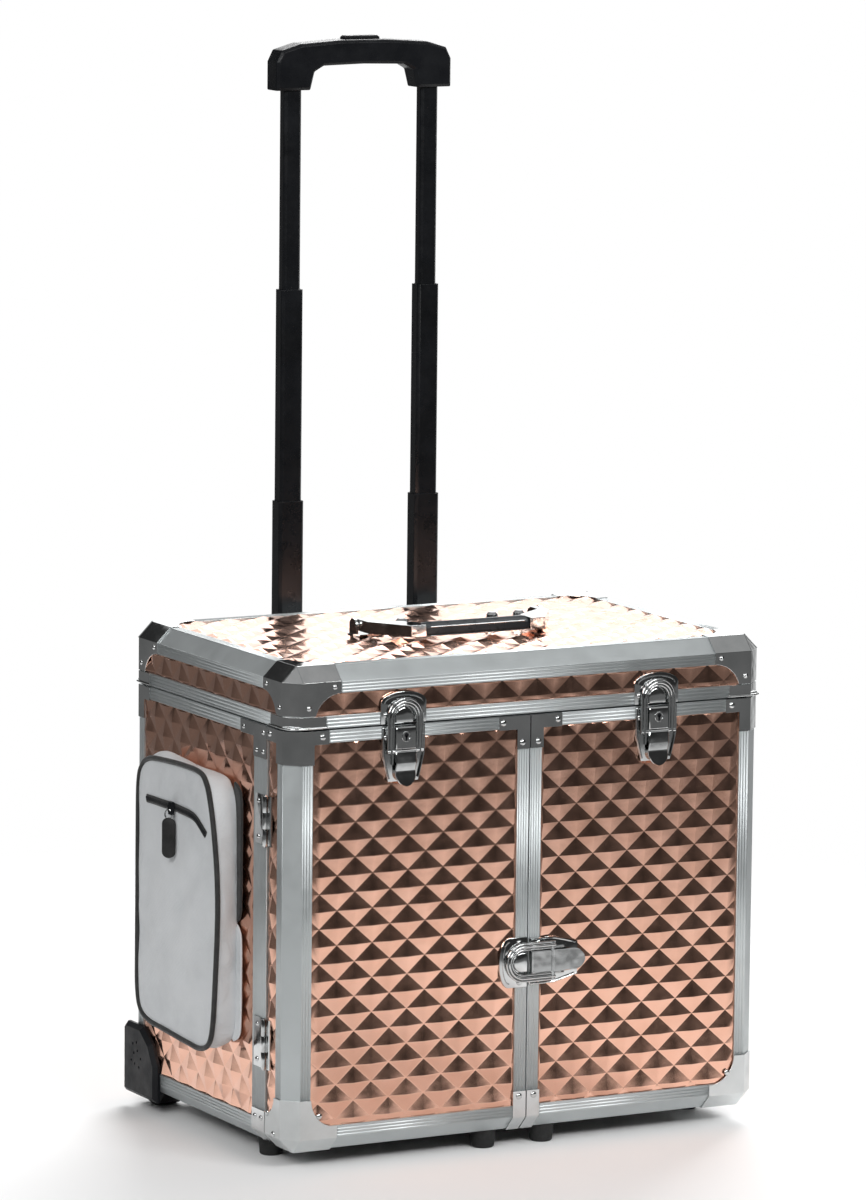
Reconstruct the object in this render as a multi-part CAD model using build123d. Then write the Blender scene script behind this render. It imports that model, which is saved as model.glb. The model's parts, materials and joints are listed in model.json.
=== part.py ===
"""Rolling makeup train case: plywood boards in aluminium profiles, a hinged lid, two front doors,
a three-stage trolley handle, corner wheels and a clip-on side bag.

Millimetres. X to the right, Y to the back, Z up. The part stands on Z = 0. It is modelled with the case
centred on X and Y, and written with the middle of the whole part there, bag and trolley handle included.
"""
import os

from build123d import *

# --- the case ---------------------------------------------------------------------------------
WIDTH = 450.0
DEPTH = 294.0
CASE_BOTTOM = 16.0
DOOR_TOP = 370.0
LID_BOTTOM = 371.5
CASE_TOP = 422.0
DOOR_DEPTH = 39.0
DOOR_GAP = 1.0
SEAM = 0.5  # half the gap between the two doors

# --- profiles, boards and sheets --------------------------------------------------------------
CHAMFER = 12.0
FLANGE = 9.5
EDGE = CHAMFER + FLANGE
METAL = 1.5
BOARD = 5.5
INSIDE = METAL + BOARD
SHEET = 1.0
RIM = 10.5
STILE = 11.5
HINGE_STRIP = 24.0
PROUD = 1.2  # thickness of the corner pieces that cover the profiles

XS, YF, YB = WIDTH / 2, -DEPTH / 2, DEPTH / 2
MIDDLE = (-13.0, 14.0)  # of the whole part, seen from above, bag and trolley handle included
BODY_FRONT = YF + DOOR_DEPTH + DOOR_GAP
DOOR_BACK = YF + DOOR_DEPTH

# --- interior ---------------------------------------------------------------------------------
SHELF_Z = 160.0
TRAY_Z = 300.0

# --- feet and wheels --------------------------------------------------------------------------
FOOT_R = 11.0
BODY_FOOT = (201.0, -71.0)
DOOR_FOOT = (28.0, -124.0)
WHEEL_R = 22.0
WHEEL_W = 24.0
WHEEL_X = 198.0
WHEEL_Y = 140.0
WELL_CLEAR = 2.0
AXLE_R = 4.0
RUNNING = 0.06  # radial clearance of pins in their bores

# --- trolley handle ---------------------------------------------------------------------------
TROLLEY_X = 66.5
TROLLEY_Y = 170.2
# each pair of tubes, from the fixed one up: width, depth, wall, lowest and highest point
CHANNEL = (27.5, 21.0, 1.5, 40.0, 345.0)
LOWER_STAGE = (24.0, 17.5, 1.0, 285.0, 515.5)
MIDDLE_STAGE = (21.0, 15.0, 1.25, 465.0, 699.5)
UPPER_STAGE = (17.0, 12.0, 1.2, 650.0, 880.0)
GRIP_Z = 871.4
GRIP_TOP = 914.0
GRIP_HALF = 85.0
GRIP_BAR_Z = 893.0

# --- carry handle -----------------------------------------------------------------------------
HANDLE_PIVOT = (84.0, 0.0, 431.0)
HANDLE_REACH = 46.0
HANDLE_GRIP_HALF = 50.0

# --- hinges -----------------------------------------------------------------------------------
LID_HINGE_X = 130.0
LID_AXIS_Y = YB + 3.0
LID_AXIS_Z = (DOOR_TOP + LID_BOTTOM) / 2
DOOR_AXIS_X = XS + 2.2
DOOR_AXIS_Y = DOOR_BACK + DOOR_GAP / 2
DOOR_HINGE_Z = (291.0, 103.0)
DOOR_HINGE_H = 42.0
KNUCKLE_R = 2.2
PIN_R = 1.1

# --- latches ----------------------------------------------------------------------------------
LATCH_X = 120.5
DOOR_LATCH_Z = 160.5
LATCH_PLATE = 1.6
LEVER_HALF = 9.5
LEVER_AXIS_S = -3.75  # measured from the seam, towards the catch
LEVER_AXIS_N = 4.6  # measured out from the case's face
LOOP_AXIS_S = -21.75
LOOP_AXIS_N = 5.2
LOOP_HALF = 13.0
WIRE_R = 1.2
LOCK_S = -11.75
LOCK_R = 3.5

# --- side bag ---------------------------------------------------------------------------------
BAG_Y = (-60.0, 88.0)
BAG_Z = (90.0, 321.0)
BAG_X = (-XS - 1.3, -XS - 27.0)
BAG_R = 26.0
SLIDER_AT = (14.0, 284.0)


def block(x0, x1, y0, y1, z0, z1):
    """A box from its limits."""
    centre = Pos((x0 + x1) / 2, (y0 + y1) / 2, (z0 + z1) / 2)
    return centre * Box(abs(x1 - x0), abs(y1 - y0), abs(z1 - z0))


def prism(points, axis, low, high):
    """A polygon in the plane across an axis, extruded from low to high along it."""
    place = {
        "x": lambda p, q: (low, p, q),
        "y": lambda p, q: (p, low, q),
        "z": lambda p, q: (p, q, low),
    }[axis]
    along = {"x": (1, 0, 0), "y": (0, 1, 0), "z": (0, 0, 1)}[axis]
    outline = Polyline([place(p, q) for p, q in points], close=True)
    return extrude(make_face(outline), amount=high - low, dir=along)


def rod(axis, radius, centre, low, high):
    """A round bar along an axis; centre gives its two other coordinates."""
    half = (low + high) / 2
    length = high - low
    if axis == "x":
        return Pos(half, *centre) * Rot(0, 90, 0) * Cylinder(radius, length)
    if axis == "y":
        return Pos(centre[0], half, centre[1]) * Rot(90, 0, 0) * Cylinder(radius, length)
    return Pos(*centre, half) * Cylinder(radius, length)


def both_sides(shape):
    """A shape and its mirror image in the YZ plane."""
    return [shape, mirror(shape, about=Plane.YZ)]


def write(name, shapes):
    """Write one node: a single solid, or a group of separate solids."""
    to_middle = Location((-MIDDLE[0], -MIDDLE[1], 0))
    found = []
    for shape in shapes if isinstance(shapes, (list, tuple)) else [shapes]:
        found += shape.moved(to_middle).solids()
    node = found[0] if len(found) == 1 else Compound(children=found)
    node.label = name
    export_step(node, f"parts/{name}.step")


# --- profiles ---------------------------------------------------------------------------------
def edge_section(corner_p, corner_q, sign_p, sign_q):
    """Section of the chamfered edge profile, at a corner, with the signs pointing inward."""
    c, e, t, d = CHAMFER, EDGE, METAL, INSIDE
    steps = [(0, e), (0, c), (c, 0), (e, 0), (e, t), (c, t), (c, d), (d, c), (t, c), (t, e)]
    return [(corner_p + sign_p * p, corner_q + sign_q * q) for p, q in steps]


def rim_section(face, sign, edge, inward, width=RIM):
    """Section of an L-shaped rim: a flange on the face and a lip over the board's edge."""
    t = METAL
    lip = INSIDE + 1.5
    steps = [(0, 0), (0, width), (t, width), (t, t), (lip, t), (lip, 0)]
    return [(face + sign * p, edge + inward * q) for p, q in steps]


def case_block(grow, z0, z1):
    """The whole case's outline between two heights, with chamfered edges, grown on all sides."""
    body = block(-XS - grow, XS + grow, YF - grow, YB + grow, CASE_BOTTOM - grow, CASE_TOP + grow)
    size = CHAMFER + grow * (2 - 2**0.5)
    body = chamfer(body.edges(), size)
    return body & block(-XS - 9, XS + 9, YF - 9, YB + 9, z0, z1)


def corner_piece(x, y, z, cuts=()):
    """A corner cover: the skin outside the case within the given limits, less the cutters."""
    zone = block(*x, *y, *z)
    piece = (case_block(PROUD, z[0], z[1]) - case_block(0, z[0] - 5, z[1] + 5)) & zone
    for cut in cuts:
        piece -= cut
    return piece


def wheel_well(side):
    """The corner that is cut out of the case for a wheel."""
    x0, x1 = sorted((side * 181.0, side * (XS + 5)))
    return block(x0, x1, 114.0, YB + 5, CASE_BOTTOM - 5, 50.0)


def clear_of_wells(shape):
    """A cabinet piece less the two wheel wells."""
    for side in (-1, 1):
        shape -= wheel_well(side)
    return shape


# --- cabinet ----------------------------------------------------------------------------------
def cabinet_boards():
    """The plywood panels of the cabinet."""
    low, high = CASE_BOTTOM + CHAMFER, DOOR_TOP - METAL
    front = BODY_FRONT + METAL
    bottom = block(
        -XS + CHAMFER, XS - CHAMFER, front, YB - CHAMFER, CASE_BOTTOM + METAL, CASE_BOTTOM + INSIDE
    )
    side = block(XS - INSIDE, XS - METAL, front, YB - CHAMFER, low, high)
    back = block(-XS + CHAMFER, XS - CHAMFER, YB - INSIDE, YB - METAL, low, high)
    write("cabinet_boards", [clear_of_wells(b) for b in [bottom, back] + both_sides(side)])


def cabinet_skins():
    """The embossed sheets on the cabinet's two sides and its back."""
    low, high = CASE_BOTTOM + EDGE, DOOR_TOP - RIM
    side = block(XS - METAL, XS - METAL + SHEET, BODY_FRONT + HINGE_STRIP, YB - EDGE, low, high)
    back = block(-XS + EDGE, XS - EDGE, YB - METAL, YB - METAL + SHEET, low, high)
    skins = [clear_of_wells(s) for s in both_sides(side)]
    write("cabinet_skins", skins + [clear_of_wells(back)])


def cabinet_profiles():
    """Bottom rails, back posts, the top rim and the strips that carry the door hinges."""
    side_rail = prism(edge_section(XS, CASE_BOTTOM, -1, 1), "y", BODY_FRONT, YB - EDGE)
    back_rail = prism(edge_section(YB, CASE_BOTTOM, -1, 1), "x", -XS + EDGE, XS - EDGE)
    post = prism(edge_section(XS, YB, -1, -1), "z", CASE_BOTTOM + EDGE, DOOR_TOP)
    rails = [clear_of_wells(r) for r in both_sides(side_rail)]
    write("bottom_rails", rails + [clear_of_wells(back_rail)])
    write("back_posts", [clear_of_wells(p) for p in both_sides(post)])
    side_rim = prism(rim_section(XS, -1, DOOR_TOP, -1), "y", BODY_FRONT + HINGE_STRIP, YB - EDGE)
    back_rim = prism(rim_section(YB, -1, DOOR_TOP, -1), "x", -XS + EDGE, XS - EDGE)
    write("top_rim", both_sides(side_rim) + [back_rim])
    strip = prism(
        rim_section(XS, -1, BODY_FRONT, 1, HINGE_STRIP), "z", CASE_BOTTOM + EDGE, DOOR_TOP
    )
    write("hinge_strips", both_sides(strip))


def cabinet_brackets():
    """Flat corner brackets on the hinge strips and at the back of the top rim."""
    front, strip = BODY_FRONT, BODY_FRONT + HINGE_STRIP
    arm = RIM + 1.0
    upper_points = [
        (front, DOOR_TOP),
        (front + 48, DOOR_TOP),
        (front + 48, DOOR_TOP - arm),
        (strip, DOOR_TOP - arm),
        (strip, DOOR_TOP - 28),
        (front, DOOR_TOP - 28),
    ]
    upper = prism(upper_points, "x", XS, XS + PROUD)
    lower_zone = ((XS - 45, XS + PROUD), (front, strip - 1), (CASE_BOTTOM - PROUD, 46.0))
    lower = corner_piece(*lower_zone)
    back_zone = ((XS - 33, XS + PROUD), (YB - 33, YB + PROUD), (DOOR_TOP - 28, DOOR_TOP))
    cutters = [
        block(XS - 60, XS - EDGE - 0.8, YB - 9, YB + 9, DOOR_TOP - 60, DOOR_TOP - arm),
        block(XS - 9, XS + 9, YB - 60, YB - EDGE - 0.8, DOOR_TOP - 60, DOOR_TOP - arm),
    ]
    back = corner_piece(*back_zone, cutters)
    write("body_brackets", both_sides(upper) + both_sides(lower) + both_sides(back))


def shelves():
    """The middle shelf, and the floor and front wall of the tray under the lid."""
    x = XS - INSIDE
    y0, y1 = BODY_FRONT + METAL, YB - INSIDE
    shelf = block(-x, x, y0 + 8, y1, SHELF_Z, SHELF_Z + BOARD)
    floor = block(-x, x, y0 + BOARD, y1, TRAY_Z, TRAY_Z + BOARD)
    notch = CHAMFER - INSIDE
    shelf = chamfer(shelf.edges().filter_by(Axis.Z).group_by(Axis.Y)[-1], notch)
    floor = chamfer(floor.edges().filter_by(Axis.Z).group_by(Axis.Y)[-1], notch)
    wall = block(-x, x, y0, y0 + BOARD, TRAY_Z, DOOR_TOP - METAL)
    write("shelves", [shelf, floor + wall])


def foot(x, y):
    """A round rubber foot, tapered towards the floor."""
    cone = Pos(x, y, CASE_BOTTOM / 2) * Cone(FOOT_R - 1.5, FOOT_R, CASE_BOTTOM)
    return chamfer(cone.faces().sort_by(Axis.Z)[0].edges(), 1.0)


# --- wheels -----------------------------------------------------------------------------------
def wheel_housing():
    """The right-hand plastic housing: an outer cover and the walls of the wheel well."""
    outline = [(92, 12), (92, 44), (103, 62), (120, 74), (150, 74), (154, 70), (154, 12)]
    cover = prism(outline, "x", XS, XS + 6.0)
    cover = chamfer(cover.faces().sort_by(Axis.X)[-1].edges(), 3.5)
    well = block(181.0, XS, 114.0, YB, 14.0, 50.0)
    rear = block(181.0, XS, YB, 154.0, 30.0, 70.0)
    body = cover + well + rear
    low, high = WHEEL_X - WHEEL_W / 2 - WELL_CLEAR, WHEEL_X + WHEEL_W / 2 + WELL_CLEAR
    room = rod("x", WHEEL_R + WELL_CLEAR, (WHEEL_Y, WHEEL_R), low, high)
    room += block(low, high, 110.0, 160.0, 0.0, WHEEL_R)
    body -= room
    body -= rod("x", AXLE_R, (WHEEL_Y, WHEEL_R), 183.0, XS + 3.0)
    for step_y, step_z in ((-9, 4), (-3, 10), (4, 7), (-6, -4), (2, -2), (9, 0), (-1, 17), (6, 15)):
        body -= rod("x", 1.2, (128.0 + step_y, 42.0 + step_z), XS + 4.0, XS + 9.0)
    return body


def wheel():
    """The right-hand wheel: a rubber tyre moulded over a plastic hub."""
    low, high = WHEEL_X - WHEEL_W / 2, WHEEL_X + WHEEL_W / 2
    centre = (WHEEL_Y, WHEEL_R)
    tyre = chamfer(rod("x", WHEEL_R, centre, low, high).edges(), 2.0)
    tyre -= rod("x", 14.0, centre, low - 1, high + 1)
    hub = rod("x", 14.0, centre, low, high)
    hub -= rod("x", 11.5, centre, low - 1, low + 4)
    hub -= rod("x", 11.5, centre, high - 4, high + 1)
    hub += rod("x", 7.5, centre, low, high)
    hub -= rod("x", AXLE_R + RUNNING, centre, low - 1, high + 1)
    return tyre + hub


# --- trolley ----------------------------------------------------------------------------------
def tube(width, depth, wall, low, high, side):
    """One rectangular tube of the trolley handle, with chamfered corners."""
    outer = block(-width / 2, width / 2, -depth / 2, depth / 2, low, high)
    outer = chamfer(outer.edges().filter_by(Axis.Z), 2.6)
    inner_w, inner_d = width - 2 * wall, depth - 2 * wall
    inner = block(-inner_w / 2, inner_w / 2, -inner_d / 2, inner_d / 2, low - 1, high + 1)
    inner = chamfer(inner.edges().filter_by(Axis.Z), 1.9)
    return Pos(side * TROLLEY_X, TROLLEY_Y, 0) * (outer - inner)


def tube_pair(name, spec):
    """A left and a right tube as one node."""
    write(name, [tube(*spec, side) for side in (-1, 1)])


def trolley_brackets():
    """The moulded brackets that hold the fixed tubes to the case's back, top and bottom."""
    pieces = []
    for z0, z1 in ((48.0, 78.0), (312.0, 342.0)):
        half = TROLLEY_X + 24
        plate = block(-half, half, YB, TROLLEY_Y + 13.0, z0, z1)
        plate = chamfer(plate.edges().filter_by(Axis.Z).group_by(Axis.Y)[-1], 6.0)
        plate -= block(-TROLLEY_X + 22, TROLLEY_X - 22, YB + 7, TROLLEY_Y + 20, z0 - 1, z1 + 1)
        for side in (-1, 1):
            width, depth = CHANNEL[0], CHANNEL[1]
            x = side * TROLLEY_X
            hole = block(x - width / 2, x + width / 2, -depth / 2, depth / 2, z0 - 1, z1 + 1)
            hole = chamfer(hole.edges().filter_by(Axis.Z), 2.6)
            plate -= Pos(0, TROLLEY_Y, 0) * hole
        pieces.append(plate)
    return pieces


def trolley_grip():
    """The moulded grip: two sockets on the tubes joined by a gently arched bar."""
    half_depth = 11.0
    outline = [
        (-GRIP_HALF, GRIP_Z),
        (-GRIP_HALF, GRIP_TOP - 18),
        (-GRIP_HALF + 5, GRIP_TOP - 8),
        (-GRIP_HALF + 24, GRIP_TOP - 2.5),
        (-22, GRIP_TOP),
        (22, GRIP_TOP),
        (GRIP_HALF - 24, GRIP_TOP - 2.5),
        (GRIP_HALF - 5, GRIP_TOP - 8),
        (GRIP_HALF, GRIP_TOP - 18),
        (GRIP_HALF, GRIP_Z),
        (GRIP_HALF - 33, GRIP_Z),
        (GRIP_HALF - 37, GRIP_BAR_Z - 6),
        (GRIP_HALF - 46, GRIP_BAR_Z - 1),
        (0, GRIP_BAR_Z),
        (-GRIP_HALF + 46, GRIP_BAR_Z - 1),
        (-GRIP_HALF + 37, GRIP_BAR_Z - 6),
        (-GRIP_HALF + 33, GRIP_Z),
    ]
    grip = prism(outline, "y", TROLLEY_Y - half_depth, TROLLEY_Y + half_depth)
    grip = chamfer(grip.faces().sort_by(Axis.Y)[0].edges(), 2.5)
    grip = chamfer(grip.faces().sort_by(Axis.Y)[-1].edges(), 2.5)
    width, depth = UPPER_STAGE[0], UPPER_STAGE[1]
    for side in (-1, 1):
        x = side * TROLLEY_X
        hole = block(x - width / 2, x + width / 2, -depth / 2, depth / 2, GRIP_Z - 1, UPPER_STAGE[4])
        hole = chamfer(hole.edges().filter_by(Axis.Z), 2.6)
        grip -= Pos(0, TROLLEY_Y, 0) * hole
    pocket = block(-17.3, 17.3, TROLLEY_Y - 5.3, TROLLEY_Y + 5.3, GRIP_TOP - 9, GRIP_TOP + 1)
    return grip - pocket


def release_button():
    """The button on top of the grip that frees the trolley stages."""
    button = block(-17, 17, TROLLEY_Y - 5, TROLLEY_Y + 5, GRIP_TOP - 4.5, GRIP_TOP + 3.3)
    return chamfer(button.faces().sort_by(Axis.Z)[-1].edges(), 1.5)


# --- lid --------------------------------------------------------------------------------------
def lid_panels():
    """The lid's boards and embossed sheets."""
    low, high = LID_BOTTOM + METAL, CASE_TOP - CHAMFER
    x, y = XS - CHAMFER, YB - CHAMFER
    top = block(-x, x, -y, y, CASE_TOP - INSIDE, CASE_TOP - METAL)
    side = block(XS - INSIDE, XS - METAL, -y, y, low, high)
    front = block(-x, x, YF + METAL, YF + INSIDE, low, high)
    back = block(-x, x, YB - INSIDE, YB - METAL, low, high)
    write("lid_boards", [top, front, back] + both_sides(side))
    low, high = LID_BOTTOM + RIM, CASE_TOP - EDGE
    x, y = XS - EDGE, YB - EDGE
    top = block(-x, x, -y, y, CASE_TOP - METAL, CASE_TOP - METAL + SHEET)
    side = block(XS - METAL, XS - METAL + SHEET, -y, y, low, high)
    front = block(-x, x, YF + METAL - SHEET, YF + METAL, low, high)
    back = block(-x, x, YB - METAL, YB - METAL + SHEET, low, high)
    write("lid_skins", [top, front, back] + both_sides(side))


def lid_profiles():
    """The chamfered rails around the lid's top, the corner posts, and the rim at its mouth."""
    side = prism(edge_section(XS, CASE_TOP, -1, -1), "y", YF + EDGE, YB - EDGE)
    front = prism(edge_section(YF, CASE_TOP, 1, -1), "x", -XS + EDGE, XS - EDGE)
    back = prism(edge_section(YB, CASE_TOP, -1, -1), "x", -XS + EDGE, XS - EDGE)
    posts = []
    for face, sign in ((YF, 1), (YB, -1)):
        post = prism(edge_section(XS, face, -1, sign), "z", LID_BOTTOM, CASE_TOP - EDGE)
        posts += both_sides(post)
    write("lid_rails", both_sides(side) + [front, back] + posts)
    side = prism(rim_section(XS, -1, LID_BOTTOM, 1), "y", YF + EDGE, YB - EDGE)
    front = prism(rim_section(YF, 1, LID_BOTTOM, 1), "x", -XS + EDGE, XS - EDGE)
    back = prism(rim_section(YB, -1, LID_BOTTOM, 1), "x", -XS + EDGE, XS - EDGE)
    write("lid_rim", both_sides(side) + [front, back])


def lid_corners():
    """The chromed caps on the lid's four corners and the brackets round its rim."""
    arm, arc = 47.0, 24.5
    caps, brackets = [], []
    for face, sign in ((YF, 1), (YB, -1)):
        y = sorted((face - sign * PROUD, face + sign * arm))
        z = (LID_BOTTOM + RIM + 0.6, CASE_TOP + PROUD)
        mid_x, mid_y = XS - arm, face + sign * arm
        drop = CASE_TOP - arm + 1.0
        cuts = [
            rod("y", arc, (mid_x, drop), *sorted((face - sign * 9, face + sign * 9))),
            rod("x", arc, (mid_y, drop), XS - 9, XS + 9),
            rod("z", arc, (mid_x, mid_y), CASE_TOP - 9, CASE_TOP + 9),
        ]
        caps += both_sides(corner_piece((XS - arm, XS + PROUD), y, z, cuts))
        y = sorted((face - sign * PROUD, face + sign * 33.0))
        zone = ((XS - 33.0, XS + PROUD), y, (LID_BOTTOM, LID_BOTTOM + RIM))
        brackets += both_sides(corner_piece(*zone))
    write("lid_corner_caps", caps)
    write("lid_rim_corners", brackets)


# --- hinges -----------------------------------------------------------------------------------
def lid_hinges():
    """Leaves of the two lid hinges: the cabinet's leaves with their pins, and the lid's leaves."""
    body, lid = [], []
    half, third = 25.0, 8.0
    axis = (LID_AXIS_Y, LID_AXIS_Z)
    for side in (-1, 1):
        x = side * LID_HINGE_X
        leaf = block(x - half, x + half, YB, YB + PROUD, DOOR_TOP - 16, DOOR_TOP - 2.2)
        for a, b in ((-half, -third), (third, half)):
            knuckle = rod("x", KNUCKLE_R + 0.5, axis, x + a, x + b)
            web = block(x + a, x + b, YB, YB + 3, LID_AXIS_Z - 3.5, LID_AXIS_Z - 1.2)
            leaf += knuckle + web
        leaf -= rod("x", PIN_R, axis, x - half - 1, x + half + 1)
        body += [leaf, rod("x", PIN_R, axis, x - half - 1, x + half + 1)]
        lid_leaf = block(x - half, x + half, YB, YB + PROUD, LID_BOTTOM + 2.6, LID_BOTTOM + 17)
        inner = third - 0.4
        knuckle = rod("x", KNUCKLE_R + 0.5, axis, x - inner, x + inner)
        web = block(x - inner, x + inner, YB, YB + 3, LID_AXIS_Z + 1.2, LID_AXIS_Z + 4.2)
        lid_leaf += knuckle + web
        lid_leaf -= rod("x", PIN_R + RUNNING, axis, x - half - 1, x + half + 1)
        lid.append(lid_leaf)
    return body, lid


def door_hinges():
    """Leaves of the four door hinges on the right: the cabinet's with pins, and the door's."""
    body, door = [], []
    axis = (DOOR_AXIS_X, DOOR_AXIS_Y)
    for z in DOOR_HINGE_Z:
        low, high = z - DOOR_HINGE_H / 2, z + DOOR_HINGE_H / 2
        third = DOOR_HINGE_H / 3
        leaf = block(XS, XS + PROUD, DOOR_AXIS_Y + 3.2, DOOR_AXIS_Y + 20, low, high)
        for a, b in ((low, low + third), (high - third, high)):
            leaf += rod("z", KNUCKLE_R, axis, a, b)
            leaf += block(XS + 0.2, XS + 1.4, DOOR_AXIS_Y + 1, DOOR_AXIS_Y + 3.4, a, b)
        leaf -= rod("z", PIN_R, axis, low - 1, high + 1)
        body += [leaf, rod("z", PIN_R, axis, low - 1, high + 1)]
        a, b = low + third + 0.3, high - third - 0.3
        door_leaf = block(XS, XS + PROUD, DOOR_AXIS_Y - 9, DOOR_AXIS_Y - 3.2, low, high)
        door_leaf += rod("z", KNUCKLE_R, axis, a, b)
        door_leaf += block(XS + 0.2, XS + 1.4, DOOR_AXIS_Y - 3.4, DOOR_AXIS_Y - 1, a, b)
        door_leaf -= rod("z", PIN_R + RUNNING, axis, low - 1, high + 1)
        door.append(door_leaf)
    return body, door


# --- doors ------------------------------------------------------------------------------------
def door_boards():
    """The plywood panels of the right-hand door: a shallow tray open to the cabinet."""
    x0, x1 = SEAM + METAL, XS - CHAMFER
    low, high = CASE_BOTTOM + CHAMFER, DOOR_TOP - METAL
    inside = YF + INSIDE
    back = DOOR_BACK
    front = block(x0, x1, YF + METAL, inside, low, high)
    side = block(XS - INSIDE, XS - METAL, YF + CHAMFER, back, low, high)
    bottom = block(x0, x1, YF + CHAMFER, back, CASE_BOTTOM + METAL, CASE_BOTTOM + INSIDE)
    top_points = [
        (x0 + BOARD, inside),
        (XS - CHAMFER, inside),
        (XS - INSIDE, YF + CHAMFER),
        (XS - INSIDE, back),
        (x0 + BOARD, back),
    ]
    top = prism(top_points, "z", high - BOARD, high)
    centre_points = [
        (YF + CHAMFER, CASE_BOTTOM + INSIDE),
        (back, CASE_BOTTOM + INSIDE),
        (back, high),
        (inside, high),
        (inside, CASE_BOTTOM + CHAMFER),
    ]
    centre = prism(centre_points, "x", x0, x0 + BOARD)
    return [front + top + centre, side, bottom]


def door_skins():
    """The embossed sheets on the right-hand door's front and side."""
    low, high = CASE_BOTTOM + EDGE, DOOR_TOP - RIM
    front = block(STILE, XS - EDGE, YF + METAL - SHEET, YF + METAL, low, high)
    side = block(XS - METAL, XS - METAL + SHEET, YF + EDGE, DOOR_BACK, low, high)
    return [front, side]


def door_frame():
    """The profiles around the right-hand door."""
    post = prism(edge_section(XS, YF, -1, 1), "z", CASE_BOTTOM + EDGE, DOOR_TOP)
    rail = prism(edge_section(YF, CASE_BOTTOM, 1, 1), "x", SEAM, XS - EDGE)
    side_rail = prism(edge_section(XS, CASE_BOTTOM, -1, 1), "y", YF + EDGE, DOOR_BACK)
    rim = prism(rim_section(YF, 1, DOOR_TOP, -1), "x", SEAM, XS - EDGE)
    side_rim = prism(rim_section(XS, -1, DOOR_TOP, -1), "y", YF + EDGE, DOOR_BACK)
    low, high = CASE_BOTTOM + EDGE, DOOR_TOP - RIM
    stile = block(SEAM, STILE, YF, YF + METAL, low, high)
    stile += block(SEAM, SEAM + METAL, YF, DOOR_BACK, low, high)
    return [post, rail, side_rail, rim, side_rim, stile]


def door_corner():
    """The cast corner at the foot of the right-hand door's outer edge."""
    arm, height = 46.0, 45.0
    zone = (
        (XS - arm, XS + PROUD),
        (YF - PROUD, DOOR_BACK),
        (CASE_BOTTOM - PROUD, CASE_BOTTOM + height),
    )
    cuts = [
        rod("y", 24.0, (XS - arm, CASE_BOTTOM + height), YF - 9, YF + 9),
        rod("x", 16.0, (DOOR_BACK, CASE_BOTTOM + height), XS - 9, XS + 9),
    ]
    return corner_piece(*zone, cuts)


def door_brackets():
    """Brackets of the right-hand door: the top corner, half of the T, and the bottom centre."""
    zone = ((XS - 36, XS + PROUD), (YF - PROUD, DOOR_BACK), (DOOR_TOP - 28, DOOR_TOP))
    arm = DOOR_TOP - RIM - 0.8
    cuts = [
        block(XS - 60, XS - EDGE - 0.8, YF - 9, YF + 9, DOOR_TOP - 60, arm),
        block(XS - 9, XS + 9, YF + EDGE + 0.8, DOOR_BACK + 9, DOOR_TOP - 60, arm),
    ]
    top_corner = corner_piece(*zone, cuts)
    stem = DOOR_TOP - 28
    tee_points = [
        (SEAM, stem),
        (STILE + 1, stem),
        (STILE + 1, arm),
        (30, arm),
        (30, DOOR_TOP),
        (SEAM, DOOR_TOP),
    ]
    tee = prism(tee_points, "y", YF - PROUD, YF)
    zone = ((SEAM, STILE + 1), (YF - PROUD, YF + 24), (CASE_BOTTOM - PROUD, CASE_BOTTOM + 34))
    return [top_corner, tee, corner_piece(*zone)]


def doors():
    """Both doors: each is the mirror image of the other."""
    _, leaves = door_hinges()
    sets = {
        "door_boards": door_boards(),
        "door_skins": door_skins(),
        "door_frame": door_frame(),
        "door_corner": [door_corner()],
        "door_brackets": door_brackets() + leaves,
        "door_foot": [foot(*DOOR_FOOT)],
    }
    for name, shapes in sets.items():
        write(f"right_{name}", shapes)
        write(f"left_{name}", [mirror(s, about=Plane.YZ) for s in shapes])


# --- latches ----------------------------------------------------------------------------------
# Each latch is drawn at X = 0 with its seam at Z = 0, its catch above and its lever below,
# on a face at Y = 0 that looks along -Y. Distances out from the face are n, so Y = -n.
def latch_catch():
    """The catch plate with the ridge that the loop pulls on."""
    half, top = 21.5, 27.5
    plate = block(-half, half, -LATCH_PLATE, 0, 1.0, 20.0)
    crown = rod("y", 34.0, (0, top - 34.0), -LATCH_PLATE, 0)
    plate = plate + (crown & block(-half, half, -LATCH_PLATE, 0, 19.0, top))
    ridge = block(-8.5, 8.5, -3.6, -LATCH_PLATE, 11.0, 14.5)
    return plate + chamfer(ridge.faces().sort_by(Axis.Y)[0].edges(), 0.8)


def latch_base():
    """The base plate with the two ears and the pin that the lever turns on."""
    outline = [(-20, -1), (20, -1), (20, -26), (14, -48), (-14, -48), (-20, -26)]
    base = prism(outline, "y", -LATCH_PLATE, 0)
    axis = (-LEVER_AXIS_N, LEVER_AXIS_S)
    for side in (-1, 1):
        x0, x1 = sorted((side * 9.9, side * 11.1))
        ear = block(x0, x1, -7.0, 0, LEVER_AXIS_S - 5, LEVER_AXIS_S + 2.4)
        base += ear
    base += rod("x", PIN_R, axis, -11.1, 11.1)
    return base


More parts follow.
